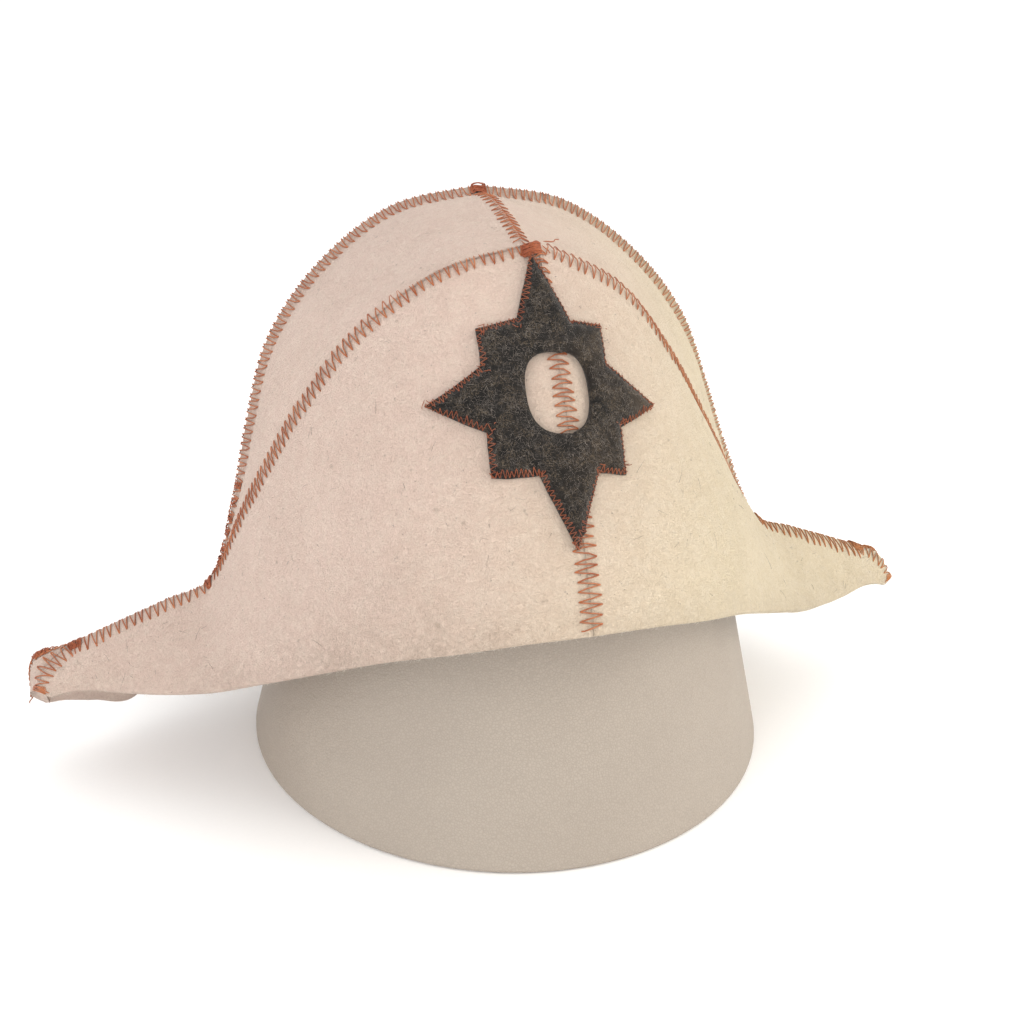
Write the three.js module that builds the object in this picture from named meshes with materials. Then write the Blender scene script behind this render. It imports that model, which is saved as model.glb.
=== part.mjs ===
import * as THREE from 'three';

// A felt hat with two pointed wings, sewn from flat pieces, resting on a plain round stand.
// Millimetres, +Z up. The hat's front faces -Y, its wings lie along X, the stand's base is at Z = 0.

// Driving sizes
const hatLength = 338;
const crownWidth = 213;
const crownRise = 126;
const stripWidth = 74;
const rimDepth = 210;
const rimHeight = 99.5;
const rootBelowRim = 23.9;
const rimDrop = 58;
const ridgeDrop = 32.5;
const tipWidth = 19;
const backDropLeft = 16;
const backDropRight = 3;
const backReachLeft = 4.5;
const backReachRight = 0;
const leanDegrees = -1;
const nodDegrees = 1.5;
const feltThickness = 3;
const seamGap = 0.3;
const starWidth = 72;
const starHeight = 76.3;
const starMiddle = 160;
const starShift = -2.6;
const holeWidth = 20;
const holeHeight = 20.8;
const holeRise = 1.7;
const holeShift = 0.9;
const standRadius = 100.6;
const standInside = 19.5;
const standTopShare = 0.3305;
const standEdge = 5;
const standAside = 5.3;
const standBack = 1.9;

const halfLength = hatLength / 2;
const halfCrown = crownWidth / 2;
const rootHeight = rimHeight - rootBelowRim;
// The hat rests on the stand's top, so the top follows the rim's height and the crown's width.
const standHeight = rimHeight + standInside;
const standTop = crownWidth * standTopShare;

// Seams over the crown, from its middle (first row) to the wing root (last row).
// Along: share of half the crown's width. Up: share of the crown's rise. Strip: share of half the strip.
const crownColumns = ['leftAlong', 'leftUp', 'rightAlong', 'rightUp', 'backAlong', 'backUp', 'strip'];
const crownRows = [
  [0.000, 0.986, 0.000, 0.986, 0.000, 1.009, 1.00],
  [0.293, 0.923, 0.272, 0.859, 0.303, 0.960, 0.97],
  [0.527, 0.772, 0.458, 0.671, 0.557, 0.816, 0.87],
  [0.687, 0.581, 0.592, 0.501, 0.741, 0.626, 0.71],
  [0.803, 0.392, 0.713, 0.348, 0.836, 0.408, 0.50],
  [0.902, 0.204, 0.840, 0.190, 0.905, 0.205, 0.26],
  [1.000, 0.000, 1.000, 0.000, 1.000, 0.000, 0.00],
];

// Wing ridge and tip, from just past the root to the lower corner.
// Along: share of half the hat's length. Down: share of the ridge's drop. Apart: share of half the tip's width.
// Sag and reach: shares of the back's extra drop and extra reach that the back seam takes.
const wingColumns = ['along', 'down', 'apart', 'sag', 'reach'];
const wingRows = [
  [0.728, 0.218, 0.00, 0.00, 0.0],
  [0.828, 0.418, 0.00, 0.00, 0.0],
  [0.920, 0.615, 0.00, 0.00, 0.0],
  [0.983, 0.800, 0.53, 0.10, 1.0],
  [1.000, 1.000, 1.00, 0.95, 1.0],
];

// The rim, one row for each row of the two tables above.
// Along: share of half the hat's length. Out: share of half the rim's depth. Down: share of the rim's drop.
// Hang and reach: shares of the back's extra drop and extra reach.
// Swell: how far the felt bulges half way up, in millimetres.
const rimColumns = [
  'along', 'frontOut', 'frontDown', 'frontSwell', 'backOut', 'backDown', 'backSwell', 'hang', 'reach',
];
const rimRows = [
  [0.000, 1.000, 0.000, 4.0, 1.000, 0.000, 4.0, 0.00, 0.0],
  [0.124, 0.979, 0.021, 4.5, 0.979, 0.021, 4.5, 0.00, 0.0],
  [0.243, 0.921, 0.095, 5.0, 0.921, 0.095, 5.0, 0.00, 0.0],
  [0.349, 0.828, 0.198, 5.0, 0.828, 0.205, 4.0, 0.00, 0.0],
  [0.450, 0.700, 0.366, 3.0, 0.685, 0.400, 2.0, 0.00, 0.0],
  [0.556, 0.552, 0.557, 1.2, 0.505, 0.640, 0.0, 0.00, 0.0],
  [0.657, 0.414, 0.726, 1.0, 0.345, 0.830, -1.0, 0.10, 0.0],
  [0.751, 0.300, 0.841, 2.0, 0.245, 0.910, 0.0, 0.95, 0.0],
  [0.834, 0.219, 0.895, 3.0, 0.175, 0.930, 0.5, 1.80, 0.0],
  [0.902, 0.162, 0.919, 2.5, 0.135, 0.935, 1.0, 1.54, 0.2],
  [0.950, 0.129, 0.962, 1.5, 0.118, 0.965, 0.5, 1.22, 0.6],
  [0.978, 0.114, 1.000, 0.5, 0.114, 1.000, 0.5, 1.00, 1.0],
];

// Soft dents in the felt, in the hat's front view: from one point to the other.
// Across is a share of half the hat's length, up a share of the root's height.
// Width and depth are in millimetres.
const dentColumns = ['face', 'fromAcross', 'fromUp', 'toAcross', 'toUp', 'width', 'depth'];
const dentRows = [
  [-1, 0.609, 0.878, 0.828, 0.666, 6, 2.2],
  [-1, 0.568, 1.048, 0.722, 0.737, 7, -1.2],
  [-1, -0.663, 0.822, -0.822, 0.652, 9, 1.2],
  [1, 0.592, 0.935, 0.793, 0.680, 8, 1.8],
  [1, -0.580, 0.992, -0.769, 0.708, 8, 1.6],
];

// Outline of the star in the hat's front view: shares of half its width and half its height.
const starColumns = ['across', 'up'];
const starRows = [
  [-0.01, 0.97],
  [0.23, 0.50],
  [0.52, 0.43],
  [0.51, 0.18],
  [0.93, -0.18],
  [0.55, -0.25],
  [0.53, -0.56],
  [0.28, -0.51],
  [0.01, -1.00],
  [-0.23, -0.49],
  [-0.62, -0.50],
  [-0.61, -0.20],
  [-1.06, -0.06],
  [-0.58, 0.23],
  [-0.57, 0.47],
  [-0.22, 0.54],
];

function column(rows, columns, name) {
  const at = columns.indexOf(name);
  return rows.map((row) => row[at]);
}

// A smooth line through a list of numbers, read at a fractional place.
function along(values, place) {
  const last = values.length - 1;
  const first = Math.min(Math.max(Math.floor(place), 0), last - 1);
  const t = place - first;
  const at = (i) => {
    if (i < 0) {
      return 2 * values[0] - values[1];
    }
    if (i > last) {
      return 2 * values[last] - values[last - 1];
    }
    return values[i];
  };
  const [a, b, c, d] = [at(first - 1), at(first), at(first + 1), at(first + 2)];
  const bend = (2 * a - 5 * b + 4 * c - d) * t * t;
  const turn = (3 * b - a - 3 * c + d) * t * t * t;
  return 0.5 * (2 * b + (c - a) * t + bend + turn);
}

const crown = (name) => column(crownRows, crownColumns, name);
const wing = (name) => column(wingRows, wingColumns, name);
const rim = (name) => column(rimRows, rimColumns, name);

// The back hangs lower and reaches further than the front, by its own amount at each wing.
function backDrop(face, side) {
  if (face < 0) {
    return 0;
  }
  return side < 0 ? backDropLeft : backDropRight;
}

function backReach(face, side) {
  if (face < 0) {
    return 0;
  }
  return side < 0 ? backReachLeft : backReachRight;
}

// The seam line at the top of one panel, as lists of X, Y and Z, one entry for each station.
function topLine(face, side) {
  const name = face > 0 ? 'back' : (side < 0 ? 'left' : 'right');
  const drop = backDrop(face, side);
  const x = crown(`${name}Along`).map((v) => v * halfCrown);
  const y = crown('strip').map((v) => v * stripWidth / 2);
  const z = crown(`${name}Up`).map((v) => rootHeight + v * crownRise);
  const sag = wing('sag');
  const reach = wing('reach').map((v) => v * backReach(face, side));
  wing('along').forEach((v, i) => x.push(v * halfLength + reach[i]));
  wing('apart').forEach((v) => y.push(v * tipWidth / 2));
  wing('down').forEach((v, i) => z.push(rootHeight - v * ridgeDrop - sag[i] * drop));
  return { x, y, z };
}

function rimLine(face, side) {
  const name = face > 0 ? 'back' : 'front';
  const drop = backDrop(face, side);
  const hang = rim('hang');
  const reach = rim('reach').map((v) => v * backReach(face, side));
  return {
    x: rim('along').map((v, i) => v * halfLength + reach[i]),
    y: rim(`${name}Out`).map((v) => v * rimDepth / 2),
    z: rim(`${name}Down`).map((v, i) => rimHeight - v * rimDrop - hang[i] * drop),
  };
}

const lines = {};
for (const face of [-1, 1]) {
  for (const side of [-1, 1]) {
    const swell = rim(face < 0 ? 'frontSwell' : 'backSwell');
    lines[`${face},${side}`] = { top: topLine(face, side), rim: rimLine(face, side), swell };
  }
}

function onLine(line, place) {
  return new THREE.Vector3(along(line.x, place), Math.max(along(line.y, place), 0), along(line.z, place));
}

function dentAt(face, x, z) {
  const halfLength = hatLength / 2;
  let depth = 0;
  for (const [rowFace, fromAcross, fromUp, toAcross, toUp, width, deep] of dentRows) {
    if (rowFace !== face) {
      continue;
    }
    const fromX = fromAcross * halfLength;
    const fromZ = fromUp * rootHeight;
    const runX = (toAcross - fromAcross) * halfLength;
    const runZ = (toUp - fromUp) * rootHeight;
    const share = ((x - fromX) * runX + (z - fromZ) * runZ) / (runX * runX + runZ * runZ);
    const near = Math.min(Math.max(share, 0), 1);
    const away = Math.hypot(x - fromX - near * runX, z - fromZ - near * runZ);
    depth += deep * Math.exp(-Math.pow(away / width, 2));
  }
  return depth;
}

// A point of a panel's outer side. Place runs from the middle to the wing tip, rise from the rim to the seam.
function panelPoint(face, side, place, rise) {
  const { top, rim: foot, swell: swells } = lines[`${face},${side}`];
  const step = 0.05;
  const low = onLine(foot, place);
  const high = onLine(top, place);
  const ahead = onLine(foot, place + step).add(onLine(top, place + step));
  const behind = onLine(foot, place - step).add(onLine(top, place - step));
  const out = high.clone().sub(low).cross(ahead.sub(behind)).normalize();
  const point = low.clone().lerp(high, rise);
  const swell = along(swells, place) * 4 * rise * (1 - rise);
  const fade = Math.sin(Math.PI * Math.min(Math.max(rise, 0), 1));
  const dent = dentAt(face, side * point.x, point.z) * fade;
  point.addScaledVector(out, swell - dent);
  return new THREE.Vector3(side * point.x, face * point.y, point.z);
}

// A point of the strip over the crown. Over runs from -1 at the front seam to 1 at the back seam.
function stripPoint(side, place, over) {
  const front = onLine(lines[`-1,${side}`].top, place);
  const back = onLine(lines[`1,${side}`].top, place);
  const share = (over + 1) / 2;
  const x = front.x + (back.x - front.x) * share;
  const y = -front.y + (back.y + front.y) * share;
  const z = front.z + (back.z - front.z) * share;
  const swell = 0.07 * (front.y + back.y) * (1 - over * over) * 0.5;
  const reach = Math.hypot(x, z - rootHeight) || 1;
  return new THREE.Vector3(side * (x + swell * x / reach), y, z + swell * (z - rootHeight) / reach);
}

// A point of the small piece that closes a wing tip.
function tipPoint(side, place, over) {
  const front = onLine(lines[`-1,${side}`].top, place);
  const back = onLine(lines[`1,${side}`].top, place);
  const share = (over + 1) / 2;
  const swell = 0.12 * (front.y + back.y) * (1 - over * over);
  const x = front.x + (back.x - front.x) * share + swell;
  const y = -front.y + (back.y + front.y) * share;
  const z = front.z + (back.z - front.z) * share + swell * 0.6;
  return new THREE.Vector3(side * x, y, z);
}

// The outward direction of a surface given by a function of two numbers.
function outward(surface, a, b, sign) {
  const step = 0.02;
  const alongA = surface(a + step, b).sub(surface(a - step, b));
  const alongB = surface(a, b + step).sub(surface(a, b - step));
  return alongA.cross(alongB).multiplyScalar(sign).normalize();
}

const panelSurface = (face, side) => (place, rise) => panelPoint(face, side, place, rise);
const stripSurface = (side) => (place, over) => stripPoint(side, place, over);
const tipSurface = (side) => (place, over) => tipPoint(side, place, over);
const panelOut = (face, side, place, rise) => outward(panelSurface(face, side), place, rise, -face * side);
const stripOut = (side, place, over) => outward(stripSurface(side), place, over, side);
const tipOut = (side, place, over) => outward(tipSurface(side), place, over, side);

// Moves a point of an edge back into its own piece, by half a seam gap unless told otherwise.
function pulledBack(point, inner, amount = seamGap / 2) {
  return point.clone().addScaledVector(inner.clone().sub(point).normalize(), amount);
}

// Where the inner side lies under an outer point. Two joined pieces share the cut between them,
// so the cut follows the mean of their two directions. A flat axis keeps the cut square to it.
function underside(corner) {
  const cut = corner.out.clone();
  if (corner.other) {
    cut.add(corner.other);
  }
  if (corner.flatX) {
    cut.x = 0;
  }
  if (corner.flatY) {
    cut.y = 0;
  }
  cut.normalize();
  const reach = corner.thick / Math.max(cut.dot(corner.out), 0.55);
  return onOwnHalf(corner.point.clone().addScaledVector(cut, -reach), corner.face);
}

// Front pieces stay before the hat's middle plane and back pieces behind it.
function onOwnHalf(point, face) {
  if (face) {
    point.y = face * Math.max(face * point.y, seamGap / 2);
  }
  return point;
}

// A closed body from a grid of outer corners, each with its own thickness.
function feltBody(grid, flip) {
  const wide = grid.length;
  const tall = grid[0].length;
  const positions = [];
  const faces = [];
  const index = (i, j, layer) => (layer * wide + i) * tall + j;
  for (let layer = 0; layer < 2; layer += 1) {
    for (const row of grid) {
      for (const corner of row) {
        const p = layer ? underside(corner) : corner.point;
        positions.push(p.x, p.y, p.z);
      }
    }
  }
  const quad = (a, b, c, d) => {
    if (flip) {
      faces.push(a, c, b, a, d, c);
    } else {
      faces.push(a, b, c, a, c, d);
    }
  };
  for (let i = 0; i < wide - 1; i += 1) {
    for (let j = 0; j < tall - 1; j += 1) {
      quad(index(i, j, 0), index(i + 1, j, 0), index(i + 1, j + 1, 0), index(i, j + 1, 0));
      quad(index(i, j, 1), index(i, j + 1, 1), index(i + 1, j + 1, 1), index(i + 1, j, 1));
    }
  }
  for (let i = 0; i < wide - 1; i += 1) {
    quad(index(i, 0, 0), index(i, 0, 1), index(i + 1, 0, 1), index(i + 1, 0, 0));
    quad(index(i, tall - 1, 0), index(i + 1, tall - 1, 0), index(i + 1, tall - 1, 1), index(i, tall - 1, 1));
  }
  for (let j = 0; j < tall - 1; j += 1) {
    quad(index(0, j, 0), index(0, j + 1, 0), index(0, j + 1, 1), index(0, j, 1));
    quad(index(wide - 1, j, 0), index(wide - 1, j, 1), index(wide - 1, j + 1, 1), index(wide - 1, j + 1, 0));
  }
  const geometry = new THREE.BufferGeometry();
  geometry.setAttribute('position', new THREE.Float32BufferAttribute(positions, 3));
  geometry.setIndex(faces);
  return geometry;
}

function spread(from, to, count) {
  return Array.from({ length: count + 1 }, (_, i) => from + (to - from) * i / count);
}

const crownStations = crownRows.length - 1;
const lastStation = rimRows.length - 1;
const tipStation = lastStation - 2;
const stripEnd = crownStations - 0.08;
const tipStart = tipStation + 0.2;
const crownPlaces = spread(0, stripEnd, 18);
const tipPlaces = spread(tipStart, lastStation, 5);
const panelPlaces = [...crownPlaces, ...spread(crownStations, tipStation, 6), ...tipPlaces];
const rises = spread(0, 1, 9);

function makePanel(face, side) {
  const surface = panelSurface(face, side);
  const last = rises.length - 1;
  const grid = panelPlaces.map((place, i) => rises.map((rise, j) => {
    let point = surface(place, rise);
    const out = panelOut(face, side, place, Math.min(Math.max(rise, 0.02), 0.98));
    const corner = { out, face, thick: feltThickness };
    if (i === 0) {
      point.x = side * seamGap / 2;
      corner.flatX = true;
    }
    if (j === last) {
      point = pulledBack(point, surface(place, 0.9));
      if (place <= stripEnd) {
        corner.other = stripOut(side, place, face * 0.98);
      } else if (place >= tipStart) {
        corner.other = tipOut(side, place, face * 0.98);
      } else {
        corner.flatY = true;
      }
    }
    corner.point = onOwnHalf(point, face);
    return corner;
  }));
  return feltBody(grid, face * side > 0);
}

function makeStrip(side) {
  const surface = stripSurface(side);
  const overs = spread(-1, 1, 6);
  const grid = crownPlaces.map((place, i) => overs.map((over) => {
    let point = surface(place, over);
    const out = stripOut(side, place, over * 0.98);
    const taper = Math.min(1, Math.max(0.35, (crownStations - place) * 0.9));
    const corner = { out, thick: feltThickness * taper };
    if (Math.abs(over) === 1) {
      point = pulledBack(point, surface(place, over * 0.7));
      corner.other = panelOut(over, side, place, 0.98);
    }
    if (i === 0) {
      point.x = side * seamGap / 2;
      corner.flatX = true;
    }
    corner.point = point;
    return corner;
  }));
  return feltBody(grid, side < 0);
}

function makeTip(side) {
  const surface = tipSurface(side);
  const overs = spread(-1, 1, 4);
  const grid = tipPlaces.map((place) => overs.map((over) => {
    let point = surface(place, over);
    const out = tipOut(side, place, over * 0.98);
    const taper = Math.min(0.7, Math.max(0.4, (place - tipStation) * 0.9));
    const corner = { out, thick: feltThickness * taper };
    if (Math.abs(over) === 1) {
      point = pulledBack(point, surface(place, over * 0.7), seamGap);
      corner.other = panelOut(over, side, place, 0.98);
    }
    corner.point = point;
    return corner;
  }));
  return feltBody(grid, side < 0);
}

// The place and rise of the front's surface that lie at a given X and Z of the hat's front view.
function frontPlace(x, z) {
  const side = x < 0 ? -1 : 1;
  const surface = panelSurface(-1, side);
  let place = Math.abs(x) / 25;
  let rise = 0.5;
  const step = 0.01;
  for (let turn = 0; turn < 25; turn += 1) {
    const here = surface(place, rise);
    const byPlace = surface(place + step, rise).sub(here).divideScalar(step);
    const byRise = surface(place, rise + step).sub(here).divideScalar(step);
    const wantX = x - here.x;
    const wantZ = z - here.z;
    const area = byPlace.x * byRise.z - byRise.x * byPlace.z;
    place += (wantX * byRise.z - wantZ * byRise.x) / area;
    rise += (wantZ * byPlace.x - wantX * byPlace.z) / area;
    place = Math.min(Math.max(place, 0), crownStations);
  }
  return { side, place, rise };
}

// A point at a given height over the front's outer side.
function overFront(x, z, height) {
  const { side, place, rise } = frontPlace(x, z);
  const point = panelPoint(-1, side, place, rise);
  const out = panelOut(-1, side, Math.max(place, 0.02), rise);
  return point.addScaledVector(out, height);
}

function makeStar() {
  const pieces = 4;
  const rings = 5;
  const count = starRows.length * pieces;
  const outline = [];
  starRows.forEach((row, i) => {
    const next = starRows[(i + 1) % starRows.length];
    for (let k = 0; k < pieces; k += 1) {
      const t = k / pieces;
      const across = row[0] + (next[0] - row[0]) * t;
      const up = row[1] + (next[1] - row[1]) * t;
      outline.push([across * starWidth / 2, up * starHeight / 2]);
    }
  });
  const hole = outline.map(([across, up]) => {
    const angle = Math.atan2(up / starHeight, across / starWidth);
    const c = Math.cos(angle);
    const s = Math.sin(angle);
    const reach = Math.pow(Math.pow(Math.abs(c), 2.6) + Math.pow(Math.abs(s), 2.6), -1 / 2.6);
    return [holeShift + reach * c * holeWidth / 2, holeRise + reach * s * holeHeight / 2];
  });
  const positions = [];
  const faces = [];
  for (const height of [seamGap + feltThickness, seamGap]) {
    for (let ring = 0; ring <= rings; ring += 1) {
      const share = ring / rings;
      for (let i = 0; i < count; i += 1) {
        const across = hole[i][0] + (outline[i][0] - hole[i][0]) * share;
        const up = hole[i][1] + (outline[i][1] - hole[i][1]) * share;
        const point = overFront(starShift + across, starMiddle + up, height);
        positions.push(point.x, point.y, point.z);
      }
    }
  }
  const index = (ring, i, layer) => (layer * (rings + 1) + ring) * count + (i % count);
  const quad = (a, b, c, d) => faces.push(a, b, c, a, c, d);
  for (let i = 0; i < count; i += 1) {
    for (let ring = 0; ring < rings; ring += 1) {
      quad(index(ring, i, 0), index(ring, i + 1, 0), index(ring + 1, i + 1, 0), index(ring + 1, i, 0));
      quad(index(ring, i, 1), index(ring + 1, i, 1), index(ring + 1, i + 1, 1), index(ring, i + 1, 1));
    }
    quad(index(0, i, 0), index(0, i, 1), index(0, i + 1, 1), index(0, i + 1, 0));
    quad(index(rings, i, 0), index(rings, i + 1, 0), index(rings, i + 1, 1), index(rings, i, 1));
  }
  const geometry = new THREE.BufferGeometry();
  geometry.setAttribute('position', new THREE.Float32BufferAttribute(positions, 3));
  geometry.setIndex(faces);
  return geometry;
}

// The stand is a plain upturned tub: a round wall that narrows upward, with softened edges.
function makeStand() {
  const wallAt = (z) => standRadius + (standTop - standRadius) * z / standHeight;
  const profile = [[0, 0], [wallAt(0) - 2, 0], [wallAt(0) - 0.5, 1.2], [wallAt(3), 3]];
  for (const share of [0.2, 0.4, 0.6, 0.8]) {
    profile.push([wallAt(share * standHeight), share * standHeight]);
  }
  for (const turn of [0, 30, 60, 90]) {
    const angle = turn * Math.PI / 180;
    const z = standHeight - standEdge * (1 - Math.sin(angle));
    profile.push([wallAt(standHeight - standEdge) - standEdge * (1 - Math.cos(angle)), z]);
  }
  profile.push([0, standHeight]);
  const around = 96;
  const positions = [0, 0, 0];
  const faces = [];
  const rings = profile.slice(1, -1);
  for (const [radius, z] of rings) {
    for (let i = 0; i < around; i += 1) {
      const angle = 2 * Math.PI * i / around;
      positions.push(radius * Math.cos(angle), radius * Math.sin(angle), z);
    }
  }
  positions.push(0, 0, standHeight);
  const top = positions.length / 3 - 1;
  const index = (ring, i) => 1 + ring * around + (i % around);
  for (let i = 0; i < around; i += 1) {
    faces.push(0, index(0, i + 1), index(0, i));
    faces.push(top, index(rings.length - 1, i), index(rings.length - 1, i + 1));
    for (let ring = 0; ring < rings.length - 1; ring += 1) {
      faces.push(index(ring, i), index(ring, i + 1), index(ring + 1, i + 1));
      faces.push(index(ring, i), index(ring + 1, i + 1), index(ring + 1, i));
    }
  }
  const geometry = new THREE.BufferGeometry();
  geometry.setAttribute('position', new THREE.Float32BufferAttribute(positions, 3));
  geometry.setIndex(faces);
  geometry.translate(standAside, standBack, 0);
  return geometry;
}

function material(color, roughness) {
  return new THREE.MeshStandardMaterial({ color, roughness, metalness: 0 });
}

function addMesh(group, name, geometry, look) {
  geometry.computeVertexNormals();
  const mesh = new THREE.Mesh(geometry, look);
  mesh.name = name;
  group.add(mesh);
}

// The hat sits a little crooked: it leans to one side and nods forward, about the height of its wing tips.
function leant(geometry) {
  const pivot = rootHeight - ridgeDrop;
  geometry.translate(0, 0, -pivot);
  geometry.rotateY(leanDegrees * Math.PI / 180);
  geometry.rotateX(nodDegrees * Math.PI / 180);
  geometry.translate(0, 0, pivot);
  return geometry;
}

const group = new THREE.Group();
group.name = 'sauna_hat';
const sides = [['left', -1], ['right', 1]];
for (const [name, side] of sides) {
  addMesh(group, `front_${name}`, leant(makePanel(-1, side)), material(side < 0 ? 0xd9c5b6 : 0xded0ae, 0.95));
  addMesh(group, `back_${name}`, leant(makePanel(1, side)), material(0xd9c8b4, 0.95));
  addMesh(group, `gusset_${name}`, leant(makeStrip(side)), material(0xd8c6b8, 0.95));
  addMesh(group, `tip_${name}`, leant(makeTip(side)), material(0xd8c6b8, 0.95));
}
addMesh(group, 'star', leant(makeStar()), material(0x4a4541, 0.95));
addMesh(group, 'stand', makeStand(), material(0xb5a99b, 0.55));

// The whole is moved so that its length and depth are centred on the origin.
const middle = new THREE.Box3().setFromObject(group).getCenter(new THREE.Vector3());
for (const mesh of group.children) {
  mesh.geometry.translate(-middle.x, -middle.y, 0);
}

export default group;
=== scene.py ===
# Cream felt sauna hat with two drooping points, a dark star and rust stitching, on a plain round stand.
# Sizes are in millimetres until a mesh is made.
import math
import random
from functools import partial

import bpy
import numpy as np
from mathutils import Matrix, Vector, noise


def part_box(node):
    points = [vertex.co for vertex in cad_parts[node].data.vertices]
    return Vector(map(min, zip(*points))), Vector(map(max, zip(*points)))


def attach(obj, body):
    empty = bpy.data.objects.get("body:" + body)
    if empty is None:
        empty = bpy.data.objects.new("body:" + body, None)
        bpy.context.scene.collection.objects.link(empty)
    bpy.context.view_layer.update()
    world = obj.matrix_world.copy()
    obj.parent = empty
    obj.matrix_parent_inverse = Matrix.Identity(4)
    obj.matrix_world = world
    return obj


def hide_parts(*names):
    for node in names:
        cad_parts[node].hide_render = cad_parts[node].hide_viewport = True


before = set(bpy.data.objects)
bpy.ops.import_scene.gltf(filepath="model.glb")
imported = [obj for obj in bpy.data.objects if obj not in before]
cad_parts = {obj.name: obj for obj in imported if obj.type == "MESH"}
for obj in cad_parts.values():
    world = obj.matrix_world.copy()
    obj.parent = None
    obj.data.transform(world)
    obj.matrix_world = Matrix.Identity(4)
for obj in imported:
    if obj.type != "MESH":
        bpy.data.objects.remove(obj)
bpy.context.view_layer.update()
print("stage: frame loaded")

# The hat's shape. Most numbers are those of the solid part; seamSlide and backLip are only here.

hat = {
    "length": 338, "crownWidth": 213, "crownRise": 126, "rootHeight": 75.6, "stripWidth": 74,
    "rimDepth": 210, "rimHeight": 99.5, "rimDrop": 58, "ridgeDrop": 32.5, "tipWidth": 19,
    "backDrop": {-1: 16, 1: 3}, "backReach": {-1: 4.5, 1: 0},
    "lean": -1, "nod": 1.5, "thickness": 3, "gap": 0.3, "seamSlide": 5, "backLip": {-1: 2.4, 1: 2.8},
}

crownTable = {
    "leftAlong": [0, 0.293, 0.527, 0.687, 0.803, 0.902, 1],
    "leftUp": [0.986, 0.923, 0.772, 0.581, 0.392, 0.204, 0],
    "rightAlong": [0, 0.272, 0.458, 0.592, 0.713, 0.840, 1],
    "rightUp": [0.986, 0.859, 0.671, 0.501, 0.348, 0.190, 0],
    "backAlong": [0, 0.303, 0.557, 0.741, 0.836, 0.905, 1],
    "backUp": [1.009, 0.960, 0.816, 0.626, 0.408, 0.205, 0],
    "strip": [1, 0.97, 0.87, 0.71, 0.50, 0.26, 0],
}

wingTable = {
    "along": [0.728, 0.828, 0.920, 0.983, 1],
    "down": [0.218, 0.418, 0.615, 0.800, 1],
    "apart": [0, 0, 0, 0.53, 1],
    "sag": [0, 0, 0, 0.10, 0.95],
    "reach": [0, 0, 0, 1, 1],
}

rimTable = {
    "along": [0, 0.124, 0.243, 0.349, 0.450, 0.556, 0.657, 0.751, 0.834, 0.902, 0.950, 0.978],
    "frontOut": [1, 0.979, 0.921, 0.828, 0.700, 0.552, 0.414, 0.300, 0.219, 0.162, 0.129, 0.114],
    "frontDown": [0, 0.021, 0.095, 0.198, 0.366, 0.557, 0.726, 0.841, 0.895, 0.919, 0.962, 1],
    "frontSwell": [4, 4.5, 5, 5, 3, 1.2, 1, 2, 3, 2.5, 1.5, 0.5],
    "backOut": [1, 0.979, 0.921, 0.828, 0.685, 0.505, 0.345, 0.245, 0.175, 0.135, 0.118, 0.114],
    "backDown": [0, 0.021, 0.095, 0.205, 0.400, 0.640, 0.830, 0.910, 0.930, 0.935, 0.965, 1],
    "backSwell": [4, 4.5, 5, 4, 2, 0, -1, 0, 0.5, 1, 0.5, 0.5],
    "hang": [0, 0, 0, 0, 0, 0, 0.06, 0.82, 1.64, 1.38, 1.1, 0.96],
    "reach": [0, 0, 0, 0, 0, 0, 0, 0, 0, 0.2, 0.6, 1],
}

# Soft dents: face, from across and up, to across and up, width and depth
dents = [
    (-1, 0.609, 0.878, 0.828, 0.666, 6, 3.0),
    (-1, 0.568, 1.048, 0.722, 0.737, 7, -1.6),
    (-1, -0.663, 0.822, -0.822, 0.652, 9, 1.2),
    (1, 0.592, 0.935, 0.793, 0.680, 8, 1.8),
    (1, -0.580, 0.992, -0.769, 0.708, 8, 1.6),
]

star = {
    "width": 72, "height": 76.3, "middle": 160, "shift": -2.6,
    "holeWidth": 20, "holeHeight": 20.8, "holeRise": 1.7, "holeShift": 0.9, "holeExponent": 2.6,
    "edgeThickness": 0.9, "thickness": 3.1, "softness": 1.7, "holeDrop": 0.9, "edgeDrop": 0.35,
    "ripple": 0.012, "bigLump": 0.22, "smallLump": 0.12, "footHeight": 0.1,
    "outline": [
        (-0.01, 0.97), (0.23, 0.50), (0.52, 0.43), (0.51, 0.18), (0.93, -0.18), (0.55, -0.25),
        (0.53, -0.56), (0.28, -0.51), (0.01, -1.00), (-0.23, -0.49), (-0.62, -0.50), (-0.61, -0.20),
        (-1.06, -0.06), (-0.58, 0.23), (-0.57, 0.47), (-0.22, 0.54),
    ],
}

stand = {
    "radius": 100.6, "topRadius": 70.4, "height": 119, "edge": 5, "aside": 5.3, "back": 1.9,
    "around": 240, "ringStep": 2.5,
}

standLow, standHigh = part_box("stand")
standMiddle = (np.array(standLow) + np.array(standHigh)) * 500
standSpot = np.array([standMiddle[0], standMiddle[1], 0])
shift = standSpot - np.array([stand["aside"], stand["back"], 0])

# Face -1 is the front and 1 the back; side -1 is the left and 1 the right
corners = [(face, side) for face in (-1, 1) for side in (-1, 1)]

# Stations along a seam or rim: 0 is the middle, and the strip's mesh stops a little before its end
crownStop = 5.92
crownEnd = 6
tipBegin = 9
tipEnd = 11


# Curves and surfaces of the hat

def spline(padded, place):
    # A smooth curve through the values, which have one more value at either end
    last = len(padded) - 3
    first = np.clip(np.floor(place), 0, last - 1).astype(int)
    a, b, c, d = (padded[first + k] for k in range(4))
    t = (place - first).reshape(np.shape(place) + (1,) * (padded.ndim - 1))
    bend = (2 * a - 5 * b + 4 * c - d) * t ** 2
    twist = (3 * b - a - 3 * c + d) * t ** 3
    return 0.5 * (2 * b + (c - a) * t + bend + twist)


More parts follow.
